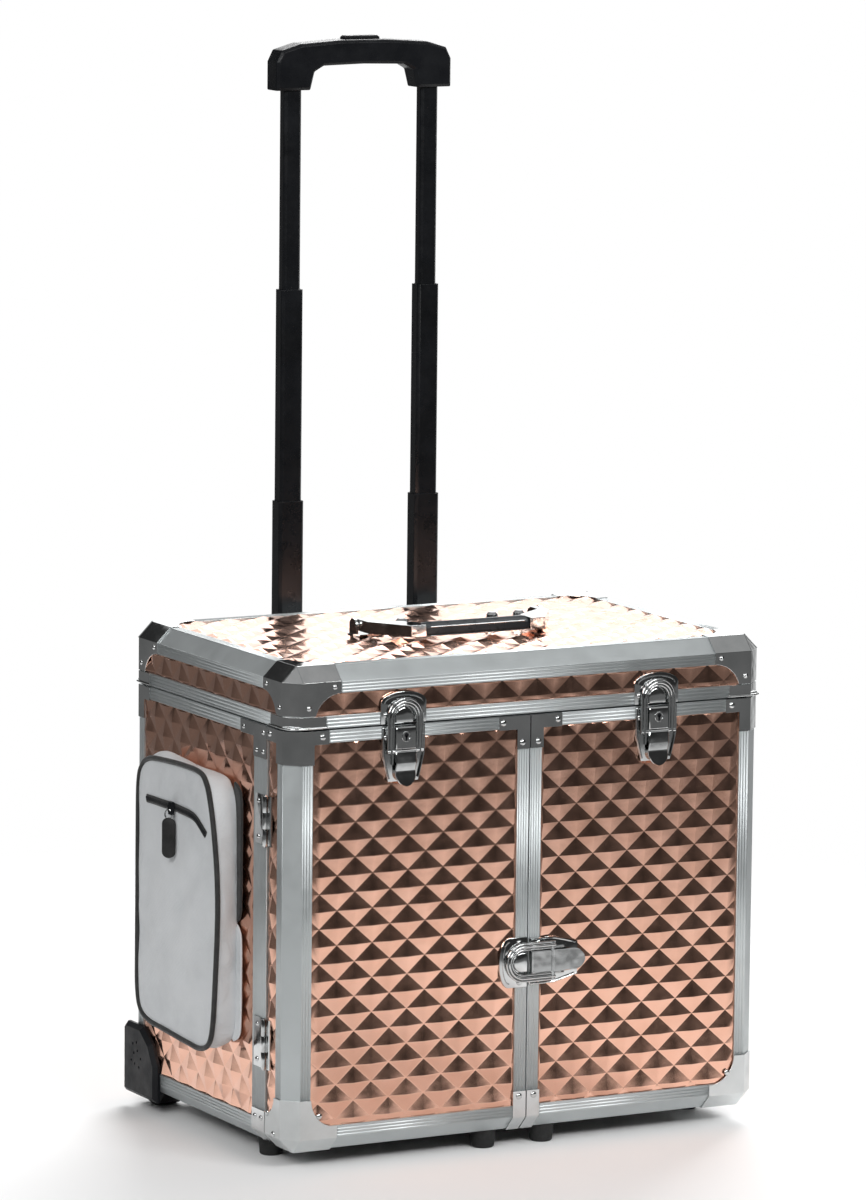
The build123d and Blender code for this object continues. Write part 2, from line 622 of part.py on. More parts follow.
def latch_lever():
    """The lever: a flat cover over the lock that ends in a finger tab."""
    half = LEVER_HALF
    front, rear = -LEVER_AXIS_N - 2.4, -LEVER_AXIS_N + 0.6
    body = block(-half, half, front, rear, -34.0, LEVER_AXIS_S)
    tab = block(-half, half, front - 1.2, front + 1.2, -41.5, -31.0)
    tab += rod("y", half, (0, -41.5), front - 1.2, front + 1.2)
    barrel = rod("x", 2.4, (-LEVER_AXIS_N, LEVER_AXIS_S), -half, half)
    lever = body + tab + barrel
    lever -= rod("x", PIN_R + RUNNING, (-LEVER_AXIS_N, LEVER_AXIS_S), -half - 1, half + 1)
    lever -= rod("y", LOCK_R + RUNNING, (0, LOCK_S), front - 1, rear + 1)
    hole = (-LOOP_AXIS_N, LOOP_AXIS_S)
    for side in (-1, 1):
        ends = sorted((side * (half + 1), side * (half - 3)))
        lever -= rod("x", WIRE_R * 0.75 + RUNNING, hole, *ends)
    return lever


def latch_loop():
    """The wire loop: two arms joined by a half circle, with stubs into the lever."""
    x, n = LOOP_HALF, LOOP_AXIS_N
    low, high = LOOP_AXIS_S, 7.0
    start = (-x, -n, low)
    path = Line(start, (-x, -n, high))
    path += ThreePointArc((-x, -n, high), (0, -n, high + x), (x, -n, high))
    path += Line((x, -n, high), (x, -n, low))
    section = Plane(origin=start, z_dir=(0, 0, 1)) * Circle(WIRE_R)
    loop = sweep(section, path)
    for side in (-1, 1):
        ends = sorted((side * (x + 0.2), side * (LEVER_HALF - 2.4)))
        loop += rod("x", WIRE_R * 0.75, (-n, low), *ends)
        loop += Pos(side * x, -n, low) * Sphere(WIRE_R + 0.2)
    return loop


def lock_plug():
    """The key plug with its slot."""
    front, rear = -LEVER_AXIS_N - 2.7, -LEVER_AXIS_N + 0.4
    plug = rod("y", LOCK_R, (0, LOCK_S), front, rear)
    return plug - block(-0.6, 0.6, front - 1, front + 2.0, LOCK_S - 2.2, LOCK_S + 2.2)


def latches():
    """Two lid latches and the door latch, which is the same latch laid on its side."""
    seam_z = (DOOR_TOP + LID_BOTTOM) / 2
    places = {
        "left_latch": Pos(-LATCH_X, YF, seam_z),
        "right_latch": Pos(LATCH_X, YF, seam_z),
        "door_latch": Pos(0, YF, DOOR_LATCH_Z) * Rot(0, -90, 0),
    }
    catches = []
    for name, place in places.items():
        write(f"{name}_base", place * latch_base())
        write(f"{name}_lever", place * latch_lever())
        write(f"{name}_loop", place * latch_loop())
        if name == "door_latch":
            write("door_latch_catch", place * latch_catch())
        else:
            catches.append(place * latch_catch())
            write(f"{name}_lock", place * lock_plug())
    write("lid_catches", catches)


# --- carry handle -----------------------------------------------------------------------------
def handle_bracket():
    """The right-hand bracket of the carry handle: base plate, two domed posts, ear and pin."""
    x, y, z = HANDLE_PIVOT
    plate = block(36, x + 9, y - 9, y + 9, CASE_TOP, CASE_TOP + 1.8)
    plate = chamfer(plate.edges().filter_by(Axis.Z), 4.0)
    ear = block(x + 4.6, x + 7, y - 6, y + 6, CASE_TOP, z)
    ear += rod("x", 6.0, (y, z), x + 4.6, x + 7)
    bracket = plate + ear + rod("x", 2.0, (y, z), x - 4.5, x + 7)
    for post_x in (44.0, 70.0):
        post = rod("z", 5.0, (post_x, y + 1), CASE_TOP + 1, CASE_TOP + 12)
        bracket += chamfer(post.faces().sort_by(Axis.Z)[-1].edges(), 2.0)
    return bracket


def handle_arm():
    """The right-hand end of the carry handle, from the pivot slanting in to the grip."""
    x, y, z = HANDLE_PIVOT
    reach, end = y - HANDLE_REACH, HANDLE_GRIP_HALF
    outline = [
        (x - 4, y),
        (x + 4, y),
        (x + 4, y - 20),
        (end + 14, reach - 10),
        (end, reach - 10),
        (end, reach + 10),
        (x - 4, y - 14),
    ]
    arm = prism(outline, "z", z - 4.5, z + 5.5) + rod("x", 4.5, (y, z), x - 4, x + 4)
    return arm - rod("x", 2.0 + RUNNING, (y, z), x - 5, x + 5)


def carry_handle():
    """The grip and its two metal ends, folded forward onto the lid."""
    _, y, z = HANDLE_PIVOT
    reach = y - HANDLE_REACH
    half = HANDLE_GRIP_HALF
    grip = block(-half, half, reach - 9, reach + 9, z - 5.5, z + 6.5)
    grip = chamfer(grip.edges().filter_by(Axis.X), 4.0)
    write("carry_handle_grip", grip)
    write("carry_handle_arms", both_sides(handle_arm()))
    write("handle_brackets", both_sides(handle_bracket()))


# --- fasteners --------------------------------------------------------------------------------
def rivet(place, radius=2.4, height=1.5):
    """A domed rivet head that stands along +Z of its place."""
    ball = (radius**2 + height**2) / (2 * height)
    dome = Pos(0, 0, height - ball) * Sphere(ball)
    return place * (dome & block(-9, 9, -9, 9, 0, 9))


def rivets():
    """Rivets on the cabinet and on the lid."""
    out = XS + PROUD
    seen = [
        (BODY_FRONT + 6, DOOR_TOP - 6),
        (BODY_FRONT + 42, DOOR_TOP - 6),
        (BODY_FRONT + 6, DOOR_TOP - 22),
        (BODY_FRONT + 18, DOOR_TOP - 22),
        (BODY_FRONT + 6, 39.0),
        (BODY_FRONT + 17, 39.0),
    ]
    for z in DOOR_HINGE_Z:
        seen += [(DOOR_AXIS_Y + 14, z - 15), (DOOR_AXIS_Y + 14, z + 15)]
    side = [rivet(Pos(out, y, z) * Rot(0, 90, 0)) for y, z in seen]
    back = []
    for x in (LID_HINGE_X - 17, LID_HINGE_X, LID_HINGE_X + 17):
        back.append(rivet(Pos(x, YB + PROUD, DOOR_TOP - 10) * Rot(-90, 0, 0)))
    body = [mirrored for one in side + back for mirrored in both_sides(one)]
    write("body_rivets", body)
    lid = []
    for face, sign, turn in ((YF - PROUD, 1, 90), (YB + PROUD, -1, -90)):
        for x, z in ((XS - 41, CASE_TOP - 16), (XS - 17, LID_BOTTOM + 18)):
            lid += both_sides(rivet(Pos(x, face, z) * Rot(turn, 0, 0)))
        for y in (YF + 41, YF + 17):
            z = CASE_TOP - 16 if y == YF + 41 else LID_BOTTOM + 18
            lid += both_sides(rivet(Pos(out, y * sign, z) * Rot(0, 90, 0)))
    for x in (LID_HINGE_X - 17, LID_HINGE_X, LID_HINGE_X + 17):
        lid += both_sides(rivet(Pos(x, YB + PROUD, LID_BOTTOM + 12) * Rot(-90, 0, 0)))
    write("lid_rivets", lid)


# --- side bag ---------------------------------------------------------------------------------
def side_bag():
    """The padded bag on the left side, a plain rounded block, and the slider of its zip."""
    bag = block(BAG_X[1], BAG_X[0], *BAG_Y, *BAG_Z)
    bag = fillet(bag.edges().filter_by(Axis.X), BAG_R)
    write("side_bag", fillet(bag.faces().sort_by(Axis.X)[0].edges(), 4.0))
    y, z = SLIDER_AT
    face = BAG_X[1] - 0.6
    slider = block(face - 3.2, face, y - 4, y + 4, z - 6, z + 6)
    slider = chamfer(slider.edges().filter_by(Axis.X), 2.0)
    slider += block(face - 4.6, face - 2.6, y - 2, y + 2, z - 9, z + 2)
    puller = block(face - 4.6, face - 2.8, y - 5, y + 5, z - 38, z - 7)
    puller = fillet(puller.edges().filter_by(Axis.X), 3.5)
    write("zip_slider", slider + puller)


def build():
    """Write every node."""
    os.makedirs("parts", exist_ok=True)
    cabinet_boards()
    cabinet_skins()
    cabinet_profiles()
    cabinet_brackets()
    shelves()
    write("front_feet", both_sides(foot(*BODY_FOOT)))
    write("wheel_housings", both_sides(wheel_housing()))
    axle = rod("x", AXLE_R, (WHEEL_Y, WHEEL_R), 183.0, XS + 3.0)
    write("wheel_axles", both_sides(axle))
    right, left = both_sides(wheel())
    write("right_wheel", right)
    write("left_wheel", left)
    tube_pair("trolley_channels", CHANNEL)
    tube_pair("lower_tubes", LOWER_STAGE)
    tube_pair("middle_tubes", MIDDLE_STAGE)
    tube_pair("upper_tubes", UPPER_STAGE)
    write("trolley_brackets", trolley_brackets())
    write("trolley_grip", trolley_grip())
    write("release_button", release_button())
    lid_panels()
    lid_profiles()
    lid_corners()
    body_leaves, lid_leaves = lid_hinges()
    side_leaves, _ = door_hinges()
    mirrored = [one for leaf in side_leaves for one in both_sides(leaf)]
    write("body_hinges", body_leaves + mirrored)
    write("lid_hinge_leaves", lid_leaves)
    doors()
    latches()
    carry_handle()
    rivets()
    side_bag()


build()
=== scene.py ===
"""Looks of the rolling makeup train case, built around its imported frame.

Lengths below are millimetres in the case's own axes: X right, Y back, Z up, with the case centred on X and Y.
make() turns them into the frame's metres.
"""

import json
import math

import bmesh
import bpy
from mathutils import Matrix, Vector, noise


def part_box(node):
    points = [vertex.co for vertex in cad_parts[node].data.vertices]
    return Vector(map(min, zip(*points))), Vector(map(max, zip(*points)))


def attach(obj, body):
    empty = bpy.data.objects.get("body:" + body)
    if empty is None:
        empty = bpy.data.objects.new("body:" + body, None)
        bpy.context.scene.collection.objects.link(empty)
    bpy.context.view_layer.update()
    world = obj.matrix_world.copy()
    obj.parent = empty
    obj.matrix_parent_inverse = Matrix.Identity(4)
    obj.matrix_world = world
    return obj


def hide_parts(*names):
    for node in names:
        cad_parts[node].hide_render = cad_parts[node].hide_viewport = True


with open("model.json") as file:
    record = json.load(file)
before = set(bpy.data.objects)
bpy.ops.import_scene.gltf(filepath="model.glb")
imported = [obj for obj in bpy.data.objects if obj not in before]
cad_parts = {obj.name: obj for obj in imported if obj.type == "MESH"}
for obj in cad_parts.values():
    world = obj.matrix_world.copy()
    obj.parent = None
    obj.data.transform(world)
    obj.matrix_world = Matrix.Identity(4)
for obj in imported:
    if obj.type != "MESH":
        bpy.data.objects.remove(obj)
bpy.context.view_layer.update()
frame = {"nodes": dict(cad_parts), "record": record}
scene = bpy.context.scene

MM = 0.001
rail_low, rail_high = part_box("lid_rails")
CENTRE = Vector(((rail_low[0] + rail_high[0]) / 2, (rail_low[1] + rail_high[1]) / 2, 0))

# --- the case's driving sizes -------------------------------------------------------------------
XS, YF, YB = 225.0, -147.0, 147.0
CASE_BOTTOM, DOOR_TOP, LID_BOTTOM, CASE_TOP = 16.0, 370.0, 371.5, 422.0
CHAMFER, FLANGE, RIM, STILE, STRIP = 12.0, 9.5, 10.5, 11.5, 24.0
EDGE = CHAMFER + FLANGE
BODY_FRONT = -107.0
SEAM = 0.5
PROUD = 1.2
SHEET_BASE = 1.3
PITCH_U, PITCH_V = 33.0, 29.3
RISE = 2.45
SIDES = {"left": -1, "right": 1}


# --- materials ----------------------------------------------------------------------------------
class Look:
    """A procedural material being wired up."""

    def __init__(self, name, colour, rough, metal=0.0):
        self.mat = bpy.data.materials.new(name)
        self.mat.use_nodes = True
        self.nodes = self.mat.node_tree.nodes
        self.links = self.mat.node_tree.links
        self.shader = self.nodes["Principled BSDF"]
        self.shader.inputs["Base Color"].default_value = (*colour, 1)
        self.shader.inputs["Roughness"].default_value = rough
        self.shader.inputs["Metallic"].default_value = metal
        self.coords = self.nodes.new("ShaderNodeTexCoord").outputs["Object"]

    def link(self, a, b):
        self.links.new(a, b)

    def noise(self, scale, detail=3.0, rough=0.5, coords=None, warp=0.0):
        node = self.nodes.new("ShaderNodeTexNoise")
        node.inputs["Scale"].default_value = scale
        node.inputs["Detail"].default_value = detail
        node.inputs["Roughness"].default_value = rough
        node.inputs["Distortion"].default_value = warp
        self.link(coords or self.coords, node.inputs["Vector"])
        return node.outputs["Fac"]

    def cells(self, scale, feature="F1"):
        node = self.nodes.new("ShaderNodeTexVoronoi")
        node.feature = feature
        node.inputs["Scale"].default_value = scale
        self.link(self.coords, node.inputs["Vector"])
        return node.outputs["Distance"]

    def waves(self, scale, axis, warp=0.0, profile="SIN"):
        node = self.nodes.new("ShaderNodeTexWave")
        node.bands_direction = axis
        node.wave_profile = profile
        node.inputs["Scale"].default_value = scale
        node.inputs["Distortion"].default_value = warp
        node.inputs["Detail"].default_value = 1.0
        self.link(self.coords, node.inputs["Vector"])
        return node.outputs["Fac"]

    def maths(self, kind, a, b):
        node = self.nodes.new("ShaderNodeMath")
        node.operation = kind
        for socket, value in zip(node.inputs, (a, b)):
            if isinstance(value, (int, float)):
                socket.default_value = value
            else:
                self.link(value, socket)
        return node.outputs[0]

    def ramp(self, fac, stops):
        """Colours, or grey levels, at places along a factor."""
        node = self.nodes.new("ShaderNodeValToRGB")
        while len(node.color_ramp.elements) < len(stops):
            node.color_ramp.elements.new(1.0)
        for element, (at, colour) in zip(node.color_ramp.elements, stops):
            element.position = at
            level = colour if isinstance(colour, tuple) else (colour,) * 3
            element.color = (*level, 1)
        self.link(fac, node.inputs["Fac"])
        return node.outputs["Color"]

    def colour(self, fac, stops):
        self.link(self.ramp(fac, stops), self.shader.inputs["Base Color"])

    def roughness(self, fac, low, high):
        self.link(self.ramp(fac, [(0.3, low), (0.7, high)]), self.shader.inputs["Roughness"])

    def bump(self, heights):
        """Chained bumps, each given as height, strength and distance in millimetres."""
        normal = None
        for height, strength, distance in heights:
            node = self.nodes.new("ShaderNodeBump")
            node.inputs["Strength"].default_value = strength
            node.inputs["Distance"].default_value = distance * MM
            self.link(height, node.inputs["Height"])
            if normal is not None:
                self.link(normal, node.inputs["Normal"])
            normal = node.outputs["Normal"]
        self.link(normal, self.shader.inputs["Normal"])

    def coat(self, weight, rough):
        self.shader.inputs["Coat Weight"].default_value = weight
        self.shader.inputs["Coat Roughness"].default_value = rough

    def sheen(self, weight, rough):
        self.shader.inputs["Sheen Weight"].default_value = weight
        self.shader.inputs["Sheen Roughness"].default_value = rough


def rose_foil():
    """Embossed foil-faced sheet: glossy rose metal with a slightly rippled surface."""
    look = Look("rose_foil", (0.80, 0.44, 0.31), 0.16, 1.0)
    broad, fine = look.noise(38, 2), look.noise(420, 3)
    look.colour(broad, [(0.3, (0.72, 0.41, 0.30)), (0.7, (0.80, 0.475, 0.36))])
    look.roughness(look.noise(90, 3), 0.10, 0.19)
    look.bump([(look.noise(75, 1.5, 0.4), 0.16, 0.8), (fine, 0.10, 0.10)])
    return look.mat


def satin_aluminium():
    """Extruded profile: satin metal with faint drawing lines and small scuffs."""
    look = Look("satin_aluminium", (0.52, 0.56, 0.56), 0.40, 0.74)
    cloud, grain = look.noise(16, 4), look.noise(1500, 2)
    look.colour(cloud, [(0.3, (0.49, 0.52, 0.525)), (0.7, (0.56, 0.595, 0.60))])
    look.roughness(look.noise(60, 5, 0.7), 0.36, 0.50)
    scuffs = look.ramp(look.noise(240, 6, 0.8, warp=1.5), [(0.62, 0.0), (0.7, 1.0)])
    look.bump([(grain, 0.25, 0.06), (scuffs, 0.2, 0.04)])
    return look.mat


def chrome():
    """Pressed, polished plate: bright chrome with faint smears and a soft ripple."""
    look = Look("chrome", (0.58, 0.59, 0.60), 0.08, 1.0)
    look.colour(look.noise(30, 4), [(0.3, (0.50, 0.515, 0.515)), (0.7, (0.66, 0.67, 0.67))])
    look.roughness(look.noise(70, 6, 0.7), 0.045, 0.15)
    look.bump([(look.noise(42, 2), 0.55, 1.1), (look.noise(900, 2), 0.06, 0.03)])
    return look.mat


def cast_metal():
    """Die-cast corner: matt metal with the grain of the mould."""
    look = Look("cast_metal", (0.62, 0.64, 0.645), 0.40, 0.85)
    look.colour(look.noise(26, 4), [(0.3, (0.58, 0.60, 0.60)), (0.7, (0.68, 0.70, 0.70))])
    look.roughness(look.noise(120, 5), 0.32, 0.46)
    look.bump([(look.noise(60, 2), 0.3, 0.4), (look.noise(1300, 3), 0.3, 0.08)])
    return look.mat


def moulded_black(name, rough, grain):
    """Black moulded plastic with a fine spark-eroded grain."""
    look = Look(name, (0.018, 0.018, 0.020), rough)
    look.colour(look.noise(22, 4), [(0.3, (0.005, 0.0055, 0.007)), (0.7, (0.011, 0.012, 0.014))])
    look.roughness(look.noise(80, 5), rough - 0.08, rough + 0.1)
    look.bump([(look.cells(grain), 0.35, 0.12), (look.noise(grain * 1.7, 2), 0.2, 0.06)])
    look.shader.inputs["Specular IOR Level"].default_value = 0.16
    return look.mat


def rubber(name, level):
    """Matt rubber with dust in its pores."""
    look = Look(name, (level,) * 3, 0.75)
    dust = look.noise(130, 6, 0.75)
    look.colour(dust, [(0.45, (level * 0.7,) * 3), (0.75, (level * 2.2,) * 3)])
    look.roughness(look.noise(60, 4), 0.62, 0.85)
    look.bump([(look.noise(1100, 3), 0.4, 0.12), (look.cells(500), 0.2, 0.1)])
    return look.mat


def black_enamel():
    """Painted steel tube: gloss black enamel with faint orange peel and wear."""
    look = Look("black_enamel", (0.004, 0.0045, 0.006), 0.2)
    look.colour(look.noise(35, 5), [(0.35, (0.002, 0.0025, 0.0035)), (0.8, (0.006, 0.007, 0.009))])
    look.roughness(look.noise(90, 5, 0.7), 0.22, 0.38)
    look.bump([(look.noise(260, 2), 0.16, 0.12)])
    look.shader.inputs["Specular IOR Level"].default_value = 0.3
    look.coat(0.1, 0.12)
    return look.mat


def velour():
    """Black flocked lining on the boards."""
    look = Look("velour", (0.016, 0.016, 0.018), 0.95)
    nap = look.noise(45, 5, 0.7)
    look.colour(nap, [(0.3, (0.010, 0.010, 0.012)), (0.7, (0.030, 0.030, 0.034))])
    look.bump([(look.noise(2600, 2), 0.6, 0.25), (nap, 0.3, 0.4)])
    look.sheen(0.4, 0.5)
    return look.mat


def steel():
    """Plain turned steel of pins and axles."""
    look = Look("steel", (0.55, 0.55, 0.56), 0.28, 1.0)
    look.colour(look.noise(90, 4), [(0.3, (0.46, 0.46, 0.47)), (0.7, (0.62, 0.62, 0.63))])
    look.roughness(look.noise(200, 4), 0.2, 0.38)
    look.bump([(look.noise(1500, 2), 0.2, 0.04)])
    return look.mat


def grip_paint(name, dark, light):
    """Moulded handle with a soft satin skin."""
    look = Look(name, dark, 0.2)
    look.colour(look.noise(40, 4), [(0.3, dark), (0.7, light)])
    look.roughness(look.noise(110, 4), 0.24, 0.36)
    look.bump([(look.cells(900), 0.12, 0.06), (look.noise(60, 2), 0.15, 0.3)])
    look.shader.inputs["Specular IOR Level"].default_value = 0.2
    return look.mat


def canvas():
    """Pale grey polyester: a plain weave, a coated bloom and light soiling."""
    look = Look("canvas", (0.60, 0.605, 0.61), 0.7)
    soil = look.noise(14, 6, 0.65)
    look.colour(soil, [(0.25, (0.52, 0.54, 0.555)), (0.5, (0.61, 0.63, 0.645)), (0.8, (0.68, 0.695, 0.71))])
    look.roughness(look.noise(50, 4), 0.6, 0.8)
    warp, weft = look.waves(300, "Y", 0.4), look.waves(300, "Z", 0.4)
    weave = look.maths("MULTIPLY", warp, weft)
    look.bump([(weave, 0.55, 0.28), (look.noise(700, 2), 0.15, 0.1)])
    look.sheen(0.25, 0.4)
    return look.mat


def woven_black(name, level, pitch):
    """Black tape, piping and webbing with a ribbed weave."""
    look = Look(name, (level,) * 3, 0.7)
    look.colour(look.noise(90, 4), [(0.3, (level * 0.6,) * 3), (0.7, (level * 1.6,) * 3)])
    look.roughness(look.noise(150, 3), 0.55, 0.8)
    ribs = look.maths("ADD", look.waves(pitch, "Y"), look.waves(pitch, "Z"))
    look.bump([(ribs, 0.4, 0.15), (look.noise(1500, 2), 0.2, 0.08)])
    look.sheen(0.2, 0.5)
    return look.mat


LOOKS = {
    "lined_board": velour(),
    "rose_sheet": rose_foil(),
    "satin_aluminium": satin_aluminium(),
    "cast_corner": cast_metal(),
    "chrome_plate": chrome(),
    "black_rubber": rubber("black_rubber", 0.009),
    "wheel_rubber": rubber("wheel_rubber", 0.012),
    "black_plastic": moulded_black("black_plastic", 0.42, 700),
    "steel_pin": steel(),
    "black_tube": black_enamel(),
    "grip_plastic": moulded_black("grip_plastic", 0.30, 1100),
    "handle_grey": grip_paint("handle_grey", (0.016, 0.020, 0.023), (0.030, 0.036, 0.040)),
    "bag_fabric": canvas(),
    "zip_black": woven_black("zip_black", 0.010, 260),
}


# --- mesh helpers -------------------------------------------------------------------------------
def make(name, bm, body, slot, replaces=(), smooth=35.0, doubles=1e-4):
    """Turn a bmesh in case millimetres into a piece of the object."""
    bmesh.ops.remove_doubles(bm, verts=bm.verts, dist=doubles)
    bmesh.ops.recalc_face_normals(bm, faces=bm.faces)
    bmesh.ops.transform(bm, matrix=Matrix.Translation(CENTRE) @ Matrix.Scale(MM, 4), verts=bm.verts)
    mesh = bpy.data.meshes.new(name)
    bm.to_mesh(mesh)
    bm.free()
    obj = bpy.data.objects.new(name, mesh)
    scene.collection.objects.link(obj)
    mesh.materials.append(LOOKS[slot])
    mesh.shade_smooth()
    if smooth:
        mesh.set_sharp_from_angle(angle=math.radians(smooth))
    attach(obj, body)
    if replaces:
        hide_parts(*replaces)
    return obj


def add_solid(bm, section, start, end, across, normal):
    """Extrude a closed section, given as pairs along across and normal, from start to end."""
    start, end, across, normal = Vector(start), Vector(end), Vector(across), Vector(normal)
    rings = []
    for at in (start, end):
        rings.append([bm.verts.new(at + across * a + normal * n) for a, n in section])
    first, last = rings
    for i in range(len(section)):
        j = (i + 1) % len(section)
        bm.faces.new((first[i], first[j], last[j], last[i]))
    bm.faces.new(first[::-1])
    bm.faces.new(last)


def add_lathe(bm, profile, centre, axis, count=20):
    """Turn a profile of radius and height pairs about an axis through centre."""
    turn = Vector((0, 0, 1)).rotation_difference(Vector(axis)).to_matrix()
    rings = []
    for radius, height in profile:
        if radius < 1e-6:
            rings.append([bm.verts.new(turn @ Vector((0, 0, height)) + Vector(centre))])
            continue
        ring = []
        for k in range(count):
            a = 2 * math.pi * k / count
            spot = turn @ Vector((radius * math.cos(a), radius * math.sin(a), height))
            ring.append(bm.verts.new(spot + Vector(centre)))
        rings.append(ring)
    for low, high in zip(rings, rings[1:]):
        for k in range(count):
            m = (k + 1) % count
            corners = [low[k % len(low)], low[m % len(low)], high[m % len(high)], high[k % len(high)]]
            unique = list(dict.fromkeys(corners))
            if len(unique) > 2:
                bm.faces.new(unique)


def add_tube(bm, points, radius, closed=False, count=10, flat=1.0, up=(1, 0, 0)):
    """Sweep a round or flattened section along points; up is the flattened direction."""
    points, up = [Vector(p) for p in points], Vector(up)
    total, rings = len(points), []
    for i, point in enumerate(points):
        before = points[i - 1] if closed or i else point
        after = points[(i + 1) % total] if closed or i < total - 1 else point
        ahead = (after - before).normalized()
        side = ahead.cross(up).normalized()
        over = side.cross(ahead).normalized()
        ring = []
        for k in range(count):
            a = 2 * math.pi * k / count
            ring.append(bm.verts.new(point + side * radius * math.cos(a) + over * radius * flat * math.sin(a)))
        rings.append(ring)
    for i in range(total if closed else total - 1):
        low, high = rings[i], rings[(i + 1) % total]
        for k in range(count):
            m = (k + 1) % count
            bm.faces.new((low[k], low[m], high[m], high[k]))
    if not closed:
        bm.faces.new(rings[0][::-1])
        bm.faces.new(rings[-1])


def spline(points, steps, closed=True):
    """Points along a Catmull-Rom curve through the given ones."""
    points, out = [Vector(p) for p in points], []
    total = len(points)
    for i in range(total if closed else total - 1):
        near = [points[(i + k) % total] if closed else points[min(max(i + k, 0), total - 1)] for k in (-1, 0, 1, 2)]
        a, b, c, d = near
        for s in range(steps):
            t = s / steps
            out.append(
                b + 0.5 * t * ((c - a) + t * ((2 * a - 5 * b + 4 * c - d) + t * (3 * (b - c) + d - a)))
            )
    if not closed:
        out.append(points[-1])
    return out


# --- embossed sheets ----------------------------------------------------------------------------
def cut(bm, place, direction, drop=False):
    geometry = bm.verts[:] + bm.edges[:] + bm.faces[:]
    bmesh.ops.bisect_plane(
        bm, geom=geometry, dist=1e-5, plane_co=place, plane_no=direction, clear_outer=drop
    )


def embossed(width, height, phase, notches=()):
    """A width by height sheet of pyramids in the XY plane, its valleys at Z = 0, with a flat back."""
    bm = bmesh.new()
    u, v = PITCH_U / 2, PITCH_V / 2
    columns, rows = int(width / u) + 4, int(height / v) + 4
    grid = {}
    for i in range(columns + 1):
        for j in range(rows + 1):
            top = RISE if (i + j) % 2 == 0 else 0.0
            grid[i, j] = bm.verts.new(((i - 2 + phase[0]) * u, (j - 2 + phase[1]) * v, top))
    for i in range(columns):
        for j in range(rows):
            a, b, c, d = grid[i, j], grid[i + 1, j], grid[i + 1, j + 1], grid[i, j + 1]
            halves = ((a, b, d), (b, c, d)) if (i + j) % 2 == 0 else ((a, b, c), (a, c, d))
            for half in halves:
                bm.faces.new(half)
    for axis, low, high in ((0, 0.0, width), (1, 0.0, height)):
        out = Vector((1, 0, 0)) if axis == 0 else Vector((0, 1, 0))
        cut(bm, out * low, -out, True)
        cut(bm, out * high, out, True)
        for inside in (low + 1.3, high - 1.3):
            cut(bm, out * inside, out)
    for x0, x1, y0, y1 in notches:
        for x in (x0, x1):
            cut(bm, (x, 0, 0), (1, 0, 0))
        for y in (y0, y1):
            cut(bm, (0, y, 0), (0, 1, 0))
        inside = []
        for face in bm.faces:
            middle = face.calc_center_median()
            if x0 < middle.x < x1 and y0 < middle.y < y1:
                inside.append(face)
        bmesh.ops.delete(bm, geom=inside, context="FACES")
    for vert in bm.verts:
        if vert.is_boundary:
            vert.co.z = 0.0
    sharp = [e for e in bm.edges if not e.is_boundary and e.calc_face_angle(0) > 0.05]
    bmesh.ops.bevel(bm, geom=sharp, offset=0.55, segments=2, profile=0.5, affect="EDGES", clamp_overlap=True)
    rim = [e for e in bm.edges if e.is_boundary]
    walls = bmesh.ops.extrude_edge_only(bm, edges=rim)["geom"]
    for vert in (g for g in walls if isinstance(g, bmesh.types.BMVert)):
        vert.co.z = -0.15
    back = [e for e in bm.edges if e.is_boundary]
    bmesh.ops.triangle_fill(bm, edges=back, use_beauty=True)
    return bm


def sheet_onto(target, size, origin, across, up, phase, notches=()):
    """Add an embossed sheet to target, lying on a face of the case."""
    bm = embossed(*size, phase, notches)
    across, up = Vector(across), Vector(up)
    out = across.cross(up)
    turn = Matrix((across, up, out)).transposed().to_4x4()
    low = Vector(origin) - out * SHEET_BASE
    bmesh.ops.transform(bm, matrix=Matrix.Translation(low) @ turn, verts=bm.verts)
    copy = bpy.data.meshes.new("part")
    bm.to_mesh(copy)
    bm.free()
    target.from_mesh(copy)
    bpy.data.meshes.remove(copy)


